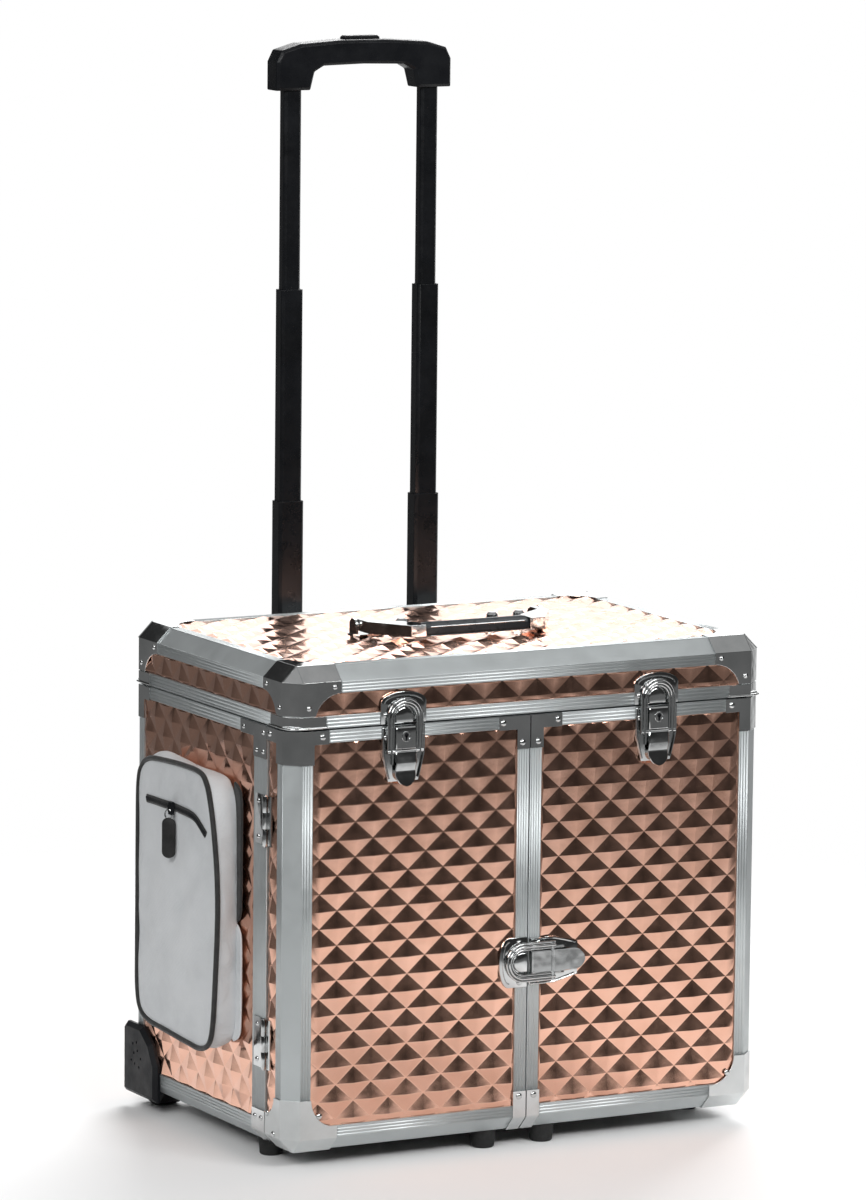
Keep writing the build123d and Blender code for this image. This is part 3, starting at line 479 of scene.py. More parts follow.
def embossed_sheets():
    """Every embossed sheet, one piece per body."""
    low, high = CASE_BOTTOM + EDGE, DOOR_TOP - RIM
    tall = high - low
    start, end = BODY_FRONT + STRIP, YB - EDGE
    cabinet = bmesh.new()
    long = end - start
    near_well = (112.0 - start, long + 9, -9, 52.0 - low)
    sheet_onto(cabinet, (long, tall), (XS, start, low), (0, 1, 0), (0, 0, 1), (0.2, 0.1), [near_well])
    near_well = (-9, end - 112.0, -9, 52.0 - low)
    sheet_onto(cabinet, (long, tall), (-XS, end, low), (0, -1, 0), (0, 0, 1), (0.3, 0.1), [near_well])
    wide = 2 * (XS - EDGE)
    corner = XS - EDGE - 178.0
    wells = [(-9, corner, -9, 73.0 - low), (wide - corner, wide + 9, -9, 73.0 - low)]
    sheet_onto(cabinet, (wide, tall), (XS - EDGE, YB, low), (-1, 0, 0), (0, 0, 1), (0.1, 0.4), wells)
    make("cabinet_sheets", cabinet, "cabinet", "rose_sheet", ["cabinet_skins"], 22)
    lid = bmesh.new()
    x, y = XS - EDGE, YB - EDGE
    z0, z1 = LID_BOTTOM + RIM, CASE_TOP - EDGE
    sheet_onto(lid, (2 * x, 2 * y), (-x, -y, CASE_TOP), (1, 0, 0), (0, 1, 0), (0.5, 0.2))
    sheet_onto(lid, (2 * x, z1 - z0), (-x, YF, z0), (1, 0, 0), (0, 0, 1), (0.73, 0.28))
    sheet_onto(lid, (2 * x, z1 - z0), (x, YB, z0), (-1, 0, 0), (0, 0, 1), (0.2, 0.17))
    sheet_onto(lid, (2 * y, z1 - z0), (XS, -y, z0), (0, 1, 0), (0, 0, 1), (0.5, 0.17))
    sheet_onto(lid, (2 * y, z1 - z0), (-XS, y, z0), (0, -1, 0), (0, 0, 1), (0.1, 0.17))
    make("lid_sheets", lid, "lid", "rose_sheet", ["lid_skins"], 22)
    for side, sign in SIDES.items():
        door = bmesh.new()
        width = XS - EDGE - STILE
        left = STILE if sign > 0 else -(XS - EDGE)
        phase = (0.1, 0.35) if sign > 0 else (0.45, 0.35)
        sheet_onto(door, (width, tall), (left, YF, low), (1, 0, 0), (0, 0, 1), phase)
        deep = -108.0 - (YF + EDGE)
        at = YF + EDGE if sign > 0 else -108.0
        sheet_onto(door, (deep, tall), (sign * XS, at, low), (0, sign, 0), (0, 0, 1), (0.4, 0.1))
        make(f"{side}_door_sheets", door, f"{side}_door", "rose_sheet", [f"{side}_door_skins"], 22)


# --- profiles -----------------------------------------------------------------------------------
def grooved(bm, start, end, across, out, width, grooves):
    """A flange's face: a thin strip with lengthwise grooves and a raised bead at each edge."""
    high, low, half = 0.36, 0.08, 0.34
    section = [(0.0, -0.05), (0.0, 0.2), (0.25, high)]
    step = (width - 1.6) / grooves
    for k in range(grooves):
        middle = 0.8 + step * (k + 0.5)
        section += [(middle - half - 0.2, high), (middle - half, low), (middle + half, low), (middle + half + 0.2, high)]
    section += [(width - 0.25, high), (width, 0.2), (width, -0.05)]
    add_solid(bm, section, start, end, across, out)


def flanges():
    """Grooved faces of every profile flange, one piece per body."""
    low, top = CASE_BOTTOM + CHAMFER, CASE_BOTTOM + EDGE
    cabinet, lid = bmesh.new(), bmesh.new()
    for sign in (-1, 1):
        x, side = sign * XS, (sign, 0, 0)
        up, back = (0, 0, 1), (0, 1, 0)
        grooved(cabinet, (x, BODY_FRONT, low), (x, 91, low), up, side, FLANGE, 3)
        grooved(cabinet, (x, BODY_FRONT + STRIP, DOOR_TOP - RIM), (x, YB - EDGE, DOOR_TOP - RIM), up, side, RIM, 3)
        grooved(cabinet, (x, BODY_FRONT, top), (x, BODY_FRONT, DOOR_TOP), back, side, STRIP, 8)
        grooved(cabinet, (x, YB - EDGE, 74), (x, YB - EDGE, DOOR_TOP), back, side, FLANGE, 3)
        inner = (sign * (XS - EDGE), YB, 74)
        grooved(cabinet, inner, (inner[0], YB, DOOR_TOP), (sign, 0, 0), back, FLANGE, 3)
        for z, wide in ((LID_BOTTOM, RIM), (CASE_TOP - EDGE, FLANGE)):
            grooved(lid, (x, YF + EDGE, z), (x, YB - EDGE, z), up, side, wide, 3)
        edge = sign * (XS - EDGE)
        grooved(lid, (edge, YF + EDGE, CASE_TOP), (edge, YB - EDGE, CASE_TOP), side, up, FLANGE, 3)
        for face in (-1, 1):
            out = (0, face, 0)
            grooved(lid, (edge, face * YB, LID_BOTTOM), (edge, face * YB, CASE_TOP - EDGE), side, out, FLANGE, 3)
            corner = (x, face * (YB - EDGE), LID_BOTTOM)
            grooved(lid, corner, (x, corner[1], CASE_TOP - EDGE), out, side, FLANGE, 3)
    x = XS - EDGE
    grooved(cabinet, (-178, YB, low), (178, YB, low), (0, 0, 1), (0, 1, 0), FLANGE, 3)
    grooved(cabinet, (-x, YB, DOOR_TOP - RIM), (x, YB, DOOR_TOP - RIM), (0, 0, 1), (0, 1, 0), RIM, 3)
    for face in (-1, 1):
        y, out = face * YB, (0, face, 0)
        grooved(lid, (-x, y, LID_BOTTOM), (x, y, LID_BOTTOM), (0, 0, 1), out, RIM, 3)
        grooved(lid, (-x, y, CASE_TOP - EDGE), (x, y, CASE_TOP - EDGE), (0, 0, 1), out, FLANGE, 3)
        inner = face * (YB - EDGE)
        grooved(lid, (-x, inner, CASE_TOP), (x, inner, CASE_TOP), out, (0, 0, 1), FLANGE, 3)
    make("cabinet_flanges", cabinet, "cabinet", "satin_aluminium", smooth=0)
    make("lid_flanges", lid, "lid", "satin_aluminium", smooth=0)
    for side, sign in SIDES.items():
        door = bmesh.new()
        out, edge = (0, -1, 0), sign * (XS - EDGE)
        grooved(door, (edge, YF, top), (edge, YF, DOOR_TOP), (sign, 0, 0), out, FLANGE, 3)
        grooved(door, (sign * SEAM, YF, low), (edge, YF, low), (0, 0, 1), out, FLANGE, 3)
        grooved(door, (sign * SEAM, YF, DOOR_TOP - RIM), (edge, YF, DOOR_TOP - RIM), (0, 0, 1), out, RIM, 3)
        grooved(door, (sign * SEAM, YF, top), (sign * SEAM, YF, DOOR_TOP - RIM), (sign, 0, 0), out, STILE - SEAM, 4)
        x = sign * XS
        grooved(door, (x, YF + EDGE, top), (x, YF + EDGE, DOOR_TOP), (0, -1, 0), (sign, 0, 0), FLANGE, 3)
        for z, wide in ((low, FLANGE), (DOOR_TOP - RIM, RIM)):
            grooved(door, (x, YF + EDGE, z), (x, -108.5, z), (0, 0, 1), (sign, 0, 0), wide, 3)
        make(f"{side}_door_flanges", door, f"{side}_door", "satin_aluminium", smooth=0)


# --- rivets -------------------------------------------------------------------------------------
RIVET = [(2.7, -0.1), (2.7, 0.25), (2.45, 0.75), (1.9, 1.2), (1.1, 1.5), (0, 1.6)]


def rivets():
    """Domed rivets on the doors' brackets and corners."""
    for side, sign in SIDES.items():
        door = bmesh.new()
        for x, z in ((26, 365), (7.5, 347.5), (195, 365), (7, 46), (196, 47)):
            add_lathe(door, RIVET, (sign * x, YF - PROUD, z), (0, -1, 0))
        for y, z in ((-113, 365), (-113, 46), (-124, 30)):
            add_lathe(door, RIVET, (sign * (XS + PROUD), y, z), (sign, 0, 0))
        make(f"{side}_door_rivets", door, f"{side}_door", "chrome_plate", smooth=50)


# --- lid corners and carry handle ---------------------------------------------------------------
def corner_trim():
    """Flared lips under the lid's corner brackets, and a bead round each cap's slanted facet."""
    trim, caps = bmesh.new(), bmesh.new()
    for sx in (-1, 1):
        for sy in (-1, 1):
            x, y, z = XS + PROUD, YB + PROUD, LID_BOTTOM + 1.1
            corners = [(x, y - 36), (x + 0.2, y - 22), (x, y - 11), (x - 3.6, y - 3.6), (x - 11, y), (x - 22, y + 0.2), (x - 36, y)]
            line = spline([(sx * a, sy * b, z) for a, b in corners], 5, closed=False)
            add_tube(trim, line, 0.95, count=8, up=(0, 0, 1))
    caps.from_mesh(frame["nodes"]["lid_corner_caps"].data)
    bmesh.ops.remove_doubles(caps, verts=caps.verts, dist=1e-6)
    bmesh.ops.dissolve_limit(caps, angle_limit=0.02, verts=caps.verts, edges=caps.edges)
    for face in caps.faces:
        middle = face.calc_center_median() - CENTRE
        out = Vector((math.copysign(1, middle.x), math.copysign(1, middle.y), 1)).normalized()
        if face.normal.dot(out) > 0.97:
            add_tube(trim, [(v.co - CENTRE) / MM for v in face.verts], 0.55, closed=True, count=6, up=out)
    caps.free()
    make("lid_corner_trim", trim, "lid", "chrome_plate", smooth=50)


def handle_grip():
    """The carry handle's grip: a faceted bar with rounded shoulders and two inlaid bright lines."""
    low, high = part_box("carry_handle_grip")
    low, high = [(Vector(v) - CENTRE) / MM for v in (low, high)]
    y, z = (low.y + high.y) / 2, (low.z + high.z) / 2
    deep, tall = (high.y - low.y) / 2, (high.z - low.z) / 2
    section = [(1, -0.2), (1, 0.2), (0.78, 0.55), (0.35, 0.86), (0.0, 1), (-0.3, 1), (-0.55, 0.72), (-0.88, 0.42),
               (-1, 0.3), (-1, -0.5), (-0.85, -0.85), (-0.5, -1), (0.4, -1), (0.82, -0.7)]
    bm, rings = bmesh.new(), []
    for x, size in ((low.x, 0.84), (low.x + 1.2, 0.94), (low.x + 5, 1.0), (high.x - 5, 1.0), (high.x - 1.2, 0.94), (high.x, 0.84)):
        rings.append([bm.verts.new((x, y + a * deep * size, z + b * tall * size)) for a, b in section])
    for a, b in zip(rings, rings[1:]):
        for k in range(len(section)):
            m = (k + 1) % len(section)
            bm.faces.new((a[k], a[m], b[m], b[k]))
    bm.faces.new(rings[0][::-1])
    bm.faces.new(rings[-1])
    make("handle_grip", bm, "carry_handle", "handle_grey", ["carry_handle_grip"], 18)
    lines = bmesh.new()
    for a, b in ((-0.95, 0.4), (-0.9, -0.85)):
        at = [(x, y + a * deep, z + b * tall) for x in (low.x + 5, high.x - 5)]
        add_tube(lines, at, 0.5, count=8, up=(0, 0, 1))
    make("handle_lines", lines, "carry_handle", "chrome_plate", smooth=50)


# --- latches ------------------------------------------------------------------------------------
# Each latch is drawn on its own axes: w across, s along from the seam towards the catch, n out from the face.
SEAM_Z = (DOOR_TOP + LID_BOTTOM) / 2
LATCH_X, DOOR_LATCH_Z = 120.5, 160.5
LEVER_HALF, TIP_S = 9.3, -41.7
LOOP_FOOT, LOOP_TOP = -24.0, 6.0


def upright(centre):
    return lambda w, s, n: Vector((centre + w, YF - n, SEAM_Z + s))


def sideways(w, s, n):
    return Vector((-s, YF - n, DOOR_LATCH_Z + w))


def add_plate(bm, outline, low, high, at, inset=0.5):
    """A flat pressed plate with rolled edges; at places (w, s, n) points."""
    middle = Vector((0, sum(s for _, s in outline) / len(outline)))
    rings = []
    for n, shrink in ((low, 0), (high - inset, 0), (high - inset * 0.3, inset * 0.3), (high, inset)):
        ring = []
        for w, s in outline:
            toward = (middle - Vector((w, s))).normalized() * shrink
            ring.append(bm.verts.new(at(w + toward.x, s + toward.y, n)))
        rings.append(ring)
    count = len(outline)
    for a, b in zip(rings, rings[1:]):
        for k in range(count):
            m = (k + 1) % count
            bm.faces.new((a[k], a[m], b[m], b[k]))
    bm.faces.new(rings[0][::-1])
    bm.faces.new(rings[-1])


def arch(half, low, spring, rise, steps=14):
    """A plate's outline: straight sides from low up to spring, then an arched top."""
    outline = [(-half, low), (half, low)]
    for k in range(steps + 1):
        a = math.pi * k / steps
        outline.append((half * math.cos(a), spring + rise * math.sin(a)))
    return outline


def latch_catch(at, body, name, replaced):
    """The catch: an arched plate, the hook that the loop grips, and two rivets."""
    bm = bmesh.new()
    add_plate(bm, arch(21.3, 0.9, 18.5, 9.0), -0.1, 1.6, at)
    add_plate(bm, arch(8.3, 1.6, 6.5, 8.0), 1.5, 3.9, at, 1.2)
    for w in (-16.8, 16.8):
        add_rivet(bm, at, w, 8.5)
    rail = [at(17.8 * math.cos(a), 18.0 + 6.4 * math.sin(a), 1.6) for a in (math.pi * k / 12 for k in range(13))]
    add_tube(bm, rail, 0.55, count=6, up=(0, -1, 0))
    make(name, bm, body, "chrome_plate", replaced, 40)


def add_rivet(bm, at, w, s):
    add_lathe(bm, [(r * 0.92, h) for r, h in RIVET], at(w, s, 1.6), (0, -1, 0), 16)


def latch_base(at, body, name, replaced):
    """The base: a tapering plate with folded cheeks beside the lever, and two rivets."""
    bm = bmesh.new()
    outline = [(-20, -1), (-20, -25), (-14, -47.5), (14, -47.5), (20, -25), (20, -1)]
    add_plate(bm, outline[::-1], -0.1, 1.6, at)
    for side in (-1, 1):
        path = [(20, -2), (20, -14), (19.6, -25), (17, -36), (14.6, -45)]
        line = [at(side * (w - 1.0), s, 1.9) for w, s in path]
        add_tube(bm, line, 0.9, count=8, up=(0, -1, 0))
        inner = [(10.6, -1.2, 3.0), (10.6, -9, 3.2), (10.6, -20, 3.0), (10.9, -33, 2.2)]
        add_tube(bm, [at(side * w, s, n) for w, s, n in inner], 1.4, count=8, up=(0, -1, 0), flat=1.5)
        add_rivet(bm, at, side * 16.0, -10.0)
    make(name, bm, body, "chrome_plate", replaced, 40)


def latch_loop(at, body, name, replaced):
    """The loop: a pressed band with three ribs, arched over the hook."""
    bm = bmesh.new()
    for half, radius, lift in ((15.9, 1.0, 4.9), (13.4, 1.35, 5.4), (10.9, 0.9, 4.9)):
        line = [at(-half, LOOP_FOOT, lift), at(-half, -9, lift)]
        line += [at(-half * math.cos(math.pi * k / 14), LOOP_TOP + half * math.sin(math.pi * k / 14), lift) for k in range(15)]
        line += [at(half, -9, lift), at(half, LOOP_FOOT, lift)]
        add_tube(bm, line, radius, count=10, up=(0, -1, 0))
    for side in (-1, 1):
        foot = [at(side * 16.6, LOOP_FOOT + 2.2, 5.0), at(side * 9.4, LOOP_FOOT + 2.2, 5.0)]
        add_tube(bm, foot, 1.5, count=10, up=(0, -1, 0))
        web = [at(side * 13.4, LOOP_FOOT, 4.6), at(side * 13.4, LOOP_TOP, 4.6)]
        add_tube(bm, web, 2.6, count=8, up=(0, -1, 0), flat=0.2)
    make(name, bm, body, "chrome_plate", replaced, 45)


def lever_front(s):
    """How far the lever's face stands out along its length."""
    stops = [(-51.2, 8.9), (-38.4, 6.1), (-31.6, 8.0), (-22.4, 6.9), (-21.8, 6.1), (-20.2, 6.1),
             (-19.6, 7.0), (-2.6, 7.0), (-1.4, 5.8)]
    for (s0, n0), (s1, n1) in zip(stops, stops[1:]):
        if s <= s1:
            return n0 + (n1 - n0) * max(0.0, (s - s0) / (s1 - s0))
    return stops[-1][1]


def latch_lever(at, body, name, replaced):
    """The lever: a cover, a joint line, a flared band and a rounded finger tip."""
    bm, rings = bmesh.new(), []
    tip = [TIP_S - LEVER_HALF * math.sin(math.pi / 2 * k / 7) for k in range(7, 0, -1)]
    along = tip + [TIP_S, -38.6, -38.0, -31.8, -31.0, -22.6, -22.2, -21.7, -20.3, -19.8, -19.3, -10, -3.2, -2.4, -1.4]
    for s in along:
        reach = max(0.0, 1 - ((TIP_S - s) / LEVER_HALF) ** 2) if s < TIP_S else 1.0
        half = max(0.4, LEVER_HALF * math.sqrt(reach))
        front = lever_front(s)
        back = front - 1.5 if s < -31 else 3.2
        soft = min(0.7, half * 0.4)
        ring = [(-half, back), (half, back), (half, front - 0.6), (half - soft, front), (-half + soft, front), (-half, front - 0.6)]
        rings.append([bm.verts.new(at(w, s, n)) for w, n in ring])
    for a, b in zip(rings, rings[1:]):
        for k in range(6):
            m = (k + 1) % 6
            bm.faces.new((a[k], a[m], b[m], b[k]))
    bm.faces.new(rings[0][::-1])
    bm.faces.new(rings[-1])
    add_tube(bm, [at(-9.8, -21.0, 5.4), at(9.8, -21.0, 5.4)], 1.1, count=12, up=(0, -1, 0))
    make(name, bm, body, "chrome_plate", replaced, 28)


def latch_lock(at, body, name, replaced):
    """The key plug in its bezel, with a keyhole."""
    ring, hole = bmesh.new(), bmesh.new()
    profile = [(0, 7.02), (3.2, 7.02), (3.3, 7.45), (4.1, 7.45), (4.4, 7.05), (4.4, 6.4)]
    add_lathe(ring, profile, at(0, -9.6, 0), (0, -1, 0), 28)
    add_lathe(hole, [(0, 7.14), (1.9, 7.14), (1.9, 6.9)], at(0, -8.4, 0), (0, -1, 0), 20)
    slot = [(-0.85, 6.9), (0.85, 6.9), (0.85, 7.14), (-0.85, 7.14)]
    add_solid(hole, slot, at(0, -8.6, 0), at(0, -12.8, 0), at(1, 0, 0) - at(0, 0, 0), (0, -1, 0))
    make(name, ring, body, "chrome_plate", replaced, 30)
    make(name + "_keyhole", hole, body, "black_plastic", smooth=30)


def latches():
    """The two lid latches with locks, and the door latch laid on its side."""
    for side, sign in SIDES.items():
        at = upright(sign * LATCH_X)
        catches = ["lid_catches"] if side == "left" else []
        latch_catch(at, "lid", f"{side}_catch", catches)
        latch_base(at, f"{side}_door", f"{side}_base", [f"{side}_latch_base"])
        latch_loop(at, f"{side}_loop", f"{side}_ribbed_loop", [f"{side}_latch_loop"])
        latch_lever(at, f"{side}_lever", f"{side}_cover", [f"{side}_latch_lever"])
        latch_lock(at, f"{side}_lock", f"{side}_plug", [f"{side}_latch_lock"])
    latch_catch(sideways, "left_door", "door_catch", ["door_latch_catch"])
    latch_base(sideways, "right_door", "door_base", ["door_latch_base"])
    latch_loop(sideways, "door_loop", "door_ribbed_loop", ["door_latch_loop"])
    latch_lever(sideways, "door_lever", "door_cover", ["door_latch_lever"])


# --- side bag -----------------------------------------------------------------------------------
RIM_LOOP = [
    (-30, 320.5), (0, 321.5), (40, 320), (64, 317.5), (78, 310), (85, 294), (86, 250), (86, 200),
    (86.5, 150), (86, 118), (80, 101), (64, 93.5), (30, 91), (-10, 88.5), (-34, 88), (-50, 95),
    (-57, 112), (-61, 150), (-64.5, 200), (-63.5, 235), (-58, 270), (-50, 299), (-42, 314),
]
BASE_LOOP = [
    (-36, 317), (0, 318), (40, 317), (64, 316), (78, 308), (84, 292), (85, 250), (85, 200),
    (85, 150), (84, 118), (79, 101), (64, 94), (30, 92), (-10, 91), (-38, 91), (-51, 97),
    (-57, 112), (-58, 150), (-58, 200), (-58, 235), (-57.5, 270), (-56, 298), (-48, 311),
]
BAG_RIM_X, BAG_BASE_X, BAG_MID = -249.3, -226.4, (12.0, 205.0)
CREASES = [
    ((-40, 252), (2, 208), 12, 3.0), ((-52, 190), (-8, 150), 11, 2.6), ((44, 122), (76, 168), 12, 2.2),
    ((-36, 122), (18, 108), 9, 2.2), ((56, 244), (72, 200), 9, 2.0), ((-24, 302), (30, 305), 7, 1.2),
    ((-2, 268), (24, 232), 7, 1.6), ((10, 178), (48, 150), 10, 1.6),
]


def face_out(y, z):
    """How far the bag's outer face stands from the case, with its crown and soft dents."""
    u, v = (y - BAG_MID[0]) / 76, (z - BAG_MID[1]) / 117
    crown = 2.6 * max(0.0, 1 - max(abs(u), abs(v)) ** 3)
    dent = 0.0
    for (y0, z0), (y1, z1), width, depth in CREASES:
        a, b, p = Vector((y0, z0)), Vector((y1, z1)), Vector((y, z))
        t = min(1.0, max(0.0, (p - a).dot(b - a) / (b - a).length_squared))
        far = (p - a - (b - a) * t).length
        dent += depth * math.exp(-((far / width) ** 2))
    ripple = 1.1 * noise.noise(Vector((y / 30, z / 38, 3.1)))
    return BAG_RIM_X - crown + dent + ripple


def bag_shell():
    """The bag's soft shell: back, gusset with humps and folds, and a crowned face."""
    rim, base = spline([(*p, 0) for p in RIM_LOOP], 9), spline([(*p, 0) for p in BASE_LOOP], 9)
    bm, rings = bmesh.new(), []
    for inward in (0.25, 0.6, 0.85, 1.0):
        ring = []
        for p in base:
            spot = Vector(BAG_MID).to_3d().lerp(p, inward)
            ring.append(bm.verts.new((BAG_BASE_X, spot.x, spot.y)))
        rings.append(ring)
    steps = 9
    for k in range(1, steps + 1):
        t, ring = k / steps, []
        for a, b in zip(base, rim):
            spot = a.lerp(b, t)
            away = (spot - Vector(BAG_MID).to_3d()).normalized()
            fold = noise.noise(Vector((spot.x / 19, spot.y / 19, t * 1.4)))
            hump = 7.0 * math.exp(-(((spot.x - 52) / 24) ** 2)) if spot.y > 280 else 0.0
            swell = math.sin(math.pi * t) * (1.4 + 2.6 * fold + hump)
            spot += away * swell
            x = BAG_BASE_X + (BAG_RIM_X - BAG_BASE_X) * t
            ring.append(bm.verts.new((x, spot.x, spot.y)))
        rings.append(ring)
    for inward in (0.985, 0.955, 0.91, 0.85, 0.77, 0.68, 0.58, 0.47, 0.36, 0.25, 0.14, 0.05):
        ring = []
        for p in rim:
            spot = Vector(BAG_MID).to_3d().lerp(p, inward)
            ring.append(bm.verts.new((face_out(spot.x, spot.y), spot.x, spot.y)))
        rings.append(ring)
    count = len(rim)
    for low, high in zip(rings, rings[1:]):
        for k in range(count):
            m = (k + 1) % count
            bm.faces.new((low[k], low[m], high[m], high[k]))
    for ring in (rings[0][::-1], rings[-1]):
        bm.faces.new(ring)
    shell = make("bag_shell", bm, "cabinet", "bag_fabric", ["side_bag"], 0)
    smooth = shell.modifiers.new("soft", "SUBSURF")
    smooth.levels = smooth.render_levels = 1


def bag_piping():
    """The black piping round the bag's face."""
    bm = bmesh.new()
    line = []
    for p in spline([(*p, 0) for p in RIM_LOOP], 9):
        away = (p - Vector(BAG_MID).to_3d()).normalized()
        spot = p + away * 0.9
        line.append((BAG_RIM_X - 0.2, spot.x, spot.y))
    add_tube(bm, line, 2.3, closed=True, count=12)
    make("bag_piping", bm, "cabinet", "zip_black", smooth=60)


ZIP_LINE = [(66, 284), (40, 284.4), (10, 284.6), (-18, 283.5), (-32, 279.5), (-45, 270.5)]


def bag_zip():
    """The zip across the face: its tape and its two rows of teeth."""
    tape, teeth = bmesh.new(), bmesh.new()
    line = spline([(*p, 0) for p in ZIP_LINE], 14, closed=False)
    path = [(face_out(p.x, p.y) - 0.5, p.x, p.y) for p in line]
    add_tube(tape, path, 3.6, count=12, flat=0.2)
    for i in range(len(line) - 1):
        a, b = line[i], line[i + 1]
        ahead = (b - a).normalized()
        across = Vector((-ahead.y, ahead.x, 0))
        for k in range(2):
            spot = a.lerp(b, (k + 0.5) / 2) + across * (0.7 if (i * 2 + k) % 2 else -0.7)
            x = face_out(spot.x, spot.y) - 1.1
            section = [(-0.35, -0.3), (0.35, -0.3), (0.35, 0.35), (-0.35, 0.35)]
            start = Vector((x, spot.x - across.x * 1.1, spot.y - across.y * 1.1))
            end = Vector((x, spot.x + across.x * 1.1, spot.y + across.y * 1.1))
            add_solid(teeth, section, start, end, (0, ahead.x, ahead.y), (-1, 0, 0))
    make("bag_zip_tape", tape, "cabinet", "zip_black", smooth=60)
    make("bag_zip_teeth", teeth, "cabinet", "black_plastic", smooth=0)


def bag_backing():
    """The bag's stiff back, which shows as a dark band above and a grey one below in front of it."""
    for name, slot, low, high in (("bag_back_upper", "zip_black", 196, 314), ("bag_back_lower", "bag_fabric", 96, 196)):
        bm = bmesh.new()
        edge = [(-52, low), (-62, low + 6), (-64.5, low + 20), (-65, (low + high) / 2), (-64.5, high - 14), (-60, high - 4), (-52, high)]
        line = [(-227.2, p.x, p.y) for p in spline([(*p, 0) for p in edge], 6, closed=False)]
        add_tube(bm, line, 1.5, count=8, flat=0.7)
        plate = [(p[1], p[2]) for p in line]
        rings = [[bm.verts.new((x, y, z)) for y, z in plate] for x in (-226.6, -228.4)]
        for ring in rings:
            bm.faces.new(ring)
        for k in range(len(plate)):
            m = (k + 1) % len(plate)
            bm.faces.new((rings[0][k], rings[0][m], rings[1][m], rings[1][k]))
        make(name, bm, "cabinet", slot, smooth=50)


def zip_puller():
    """The zip's slider, its ring and a rounded rubber tab that hangs a little turned."""
    y, z = 14.0, 284.0
    slider, ring, tab = bmesh.new(), bmesh.new(), bmesh.new()
    base = [(-3.6, 0.4), (3.6, 0.4), (3.1, 3.0), (-3.1, 3.0)]
    add_solid(slider, base, (-252.4, y, z - 5.5), (-252.4, y, z + 5.5), (0, 1, 0), (-1, 0, 0))
    bridge = [(-255.2, y, z - 4.5), (-256.6, y, z - 2), (-256.6, y, z + 2), (-255.2, y, z + 4.5)]
    add_tube(slider, bridge, 0.8, count=8, up=(0, 1, 0))
    turn, top = math.radians(38), Vector((-256.2, y, z - 5.5))
    across = Vector((-math.sin(turn), math.cos(turn), 0))
    loop = [top + across * 3.4 * math.sin(a) + Vector((0, 0, 4.4 * math.cos(a))) for a in (2 * math.pi * k / 20 for k in range(20))]
    add_tube(ring, loop, 0.75, closed=True, count=8, up=across.cross((0, 0, 1)))
    outline = []
    for middle, start in ((-32.0, math.pi), (-7.5, 0)):
        for k in range(9):
            a = start + math.pi * k / 8
            outline.append((6.0 * math.cos(a), middle + 5.0 * math.sin(a)))
    thick = across.cross((0, 0, 1))
    rings = []
    for depth, shrink in ((-1.1, 0.8), (-0.7, 1.0), (0.7, 1.0), (1.1, 0.8)):
        rings.append([tab.verts.new(top + across * w * shrink + Vector((0, 0, (s + 20) * (0.97 if shrink < 1 else 1) - 20)) + thick * depth) for w, s in outline])
    for a, b in zip(rings, rings[1:]):
        for k in range(len(outline)):
            m = (k + 1) % len(outline)
            tab.faces.new((a[k], a[m], b[m], b[k]))
    tab.faces.new(rings[0][::-1])
    tab.faces.new(rings[-1])
    make("zip_slider_body", slider, "zip_slider", "black_plastic", ["zip_slider"], 40)
    make("zip_ring", ring, "zip_slider", "chrome_plate", smooth=60)
    make("zip_tab", tab, "zip_slider", "black_rubber", smooth=40)


# --- CAD nodes that stay ------------------------------------------------------------------------
def soften(node, width):
    """Weld a CAD node's facets and round its edges, without touching its mesh."""
    obj = frame["nodes"][node]
    weld = obj.modifiers.new("weld", "WELD")
    weld.merge_threshold = 1e-6
    bevel = obj.modifiers.new("edges", "BEVEL")
    bevel.width = width * MM
    bevel.segments = 2
    bevel.limit_method = "ANGLE"
    bevel.angle_limit = math.radians(32)
    bevel.harden_normals = True


def dress_frame():
    """Give every CAD node the material of its slot, and round the edges of those whose slot is listed in widths."""
    widths = {"chrome_plate": 0.35, "cast_corner": 0.5, "black_plastic": 0.5, "grip_plastic": 0.8,
              "satin_aluminium": 0.3, "handle_grey": 1.2, "black_tube": 0.4, "black_rubber": 0.5}
    for row in frame["record"]["subparts"]:
        obj = frame["nodes"][row["node"]]
        slot = row["material_slot"]
        for k in range(len(obj.material_slots)):
            obj.material_slots[k].material = LOOKS[slot]
        if slot in widths:
            soften(row["node"], widths[slot])


# --- floor, light and camera --------------------------------------------------------------------
FLOOR_RADIUS = 1.7


def floor():
    """A plain pale floor, a round sheet of paper that fades into the white surroundings."""
    bm = bmesh.new()
    bmesh.ops.create_circle(bm, cap_ends=True, radius=FLOOR_RADIUS, segments=96)
    mesh = bpy.data.meshes.new("floor")
    bm.to_mesh(mesh)
    bm.free()
    disc = bpy.data.objects.new("floor", mesh)
    scene.collection.objects.link(disc)
    look = Look("floor_paper", (0.88, 0.88, 0.88), 0.8)
    look.shader.inputs["Specular IOR Level"].default_value = 0.1
    look.colour(look.noise(3, 3), [(0.3, (0.87, 0.87, 0.87)), (0.7, (0.89, 0.89, 0.89))])
    far = look.nodes.new("ShaderNodeVectorMath")
    far.operation = "LENGTH"
    look.link(look.coords, far.inputs[0])
    fade = look.nodes.new("ShaderNodeMapRange")
    fade.interpolation_type = "SMOOTHSTEP"
    for socket, value in zip(("From Min", "From Max", "To Min", "To Max"), (0.45, 1.3, 1.0, 0.0)):
        fade.inputs[socket].default_value = value
    look.link(far.outputs["Value"], fade.inputs["Value"])
    look.link(fade.outputs["Result"], look.shader.inputs["Alpha"])
    mesh.materials.append(look.mat)


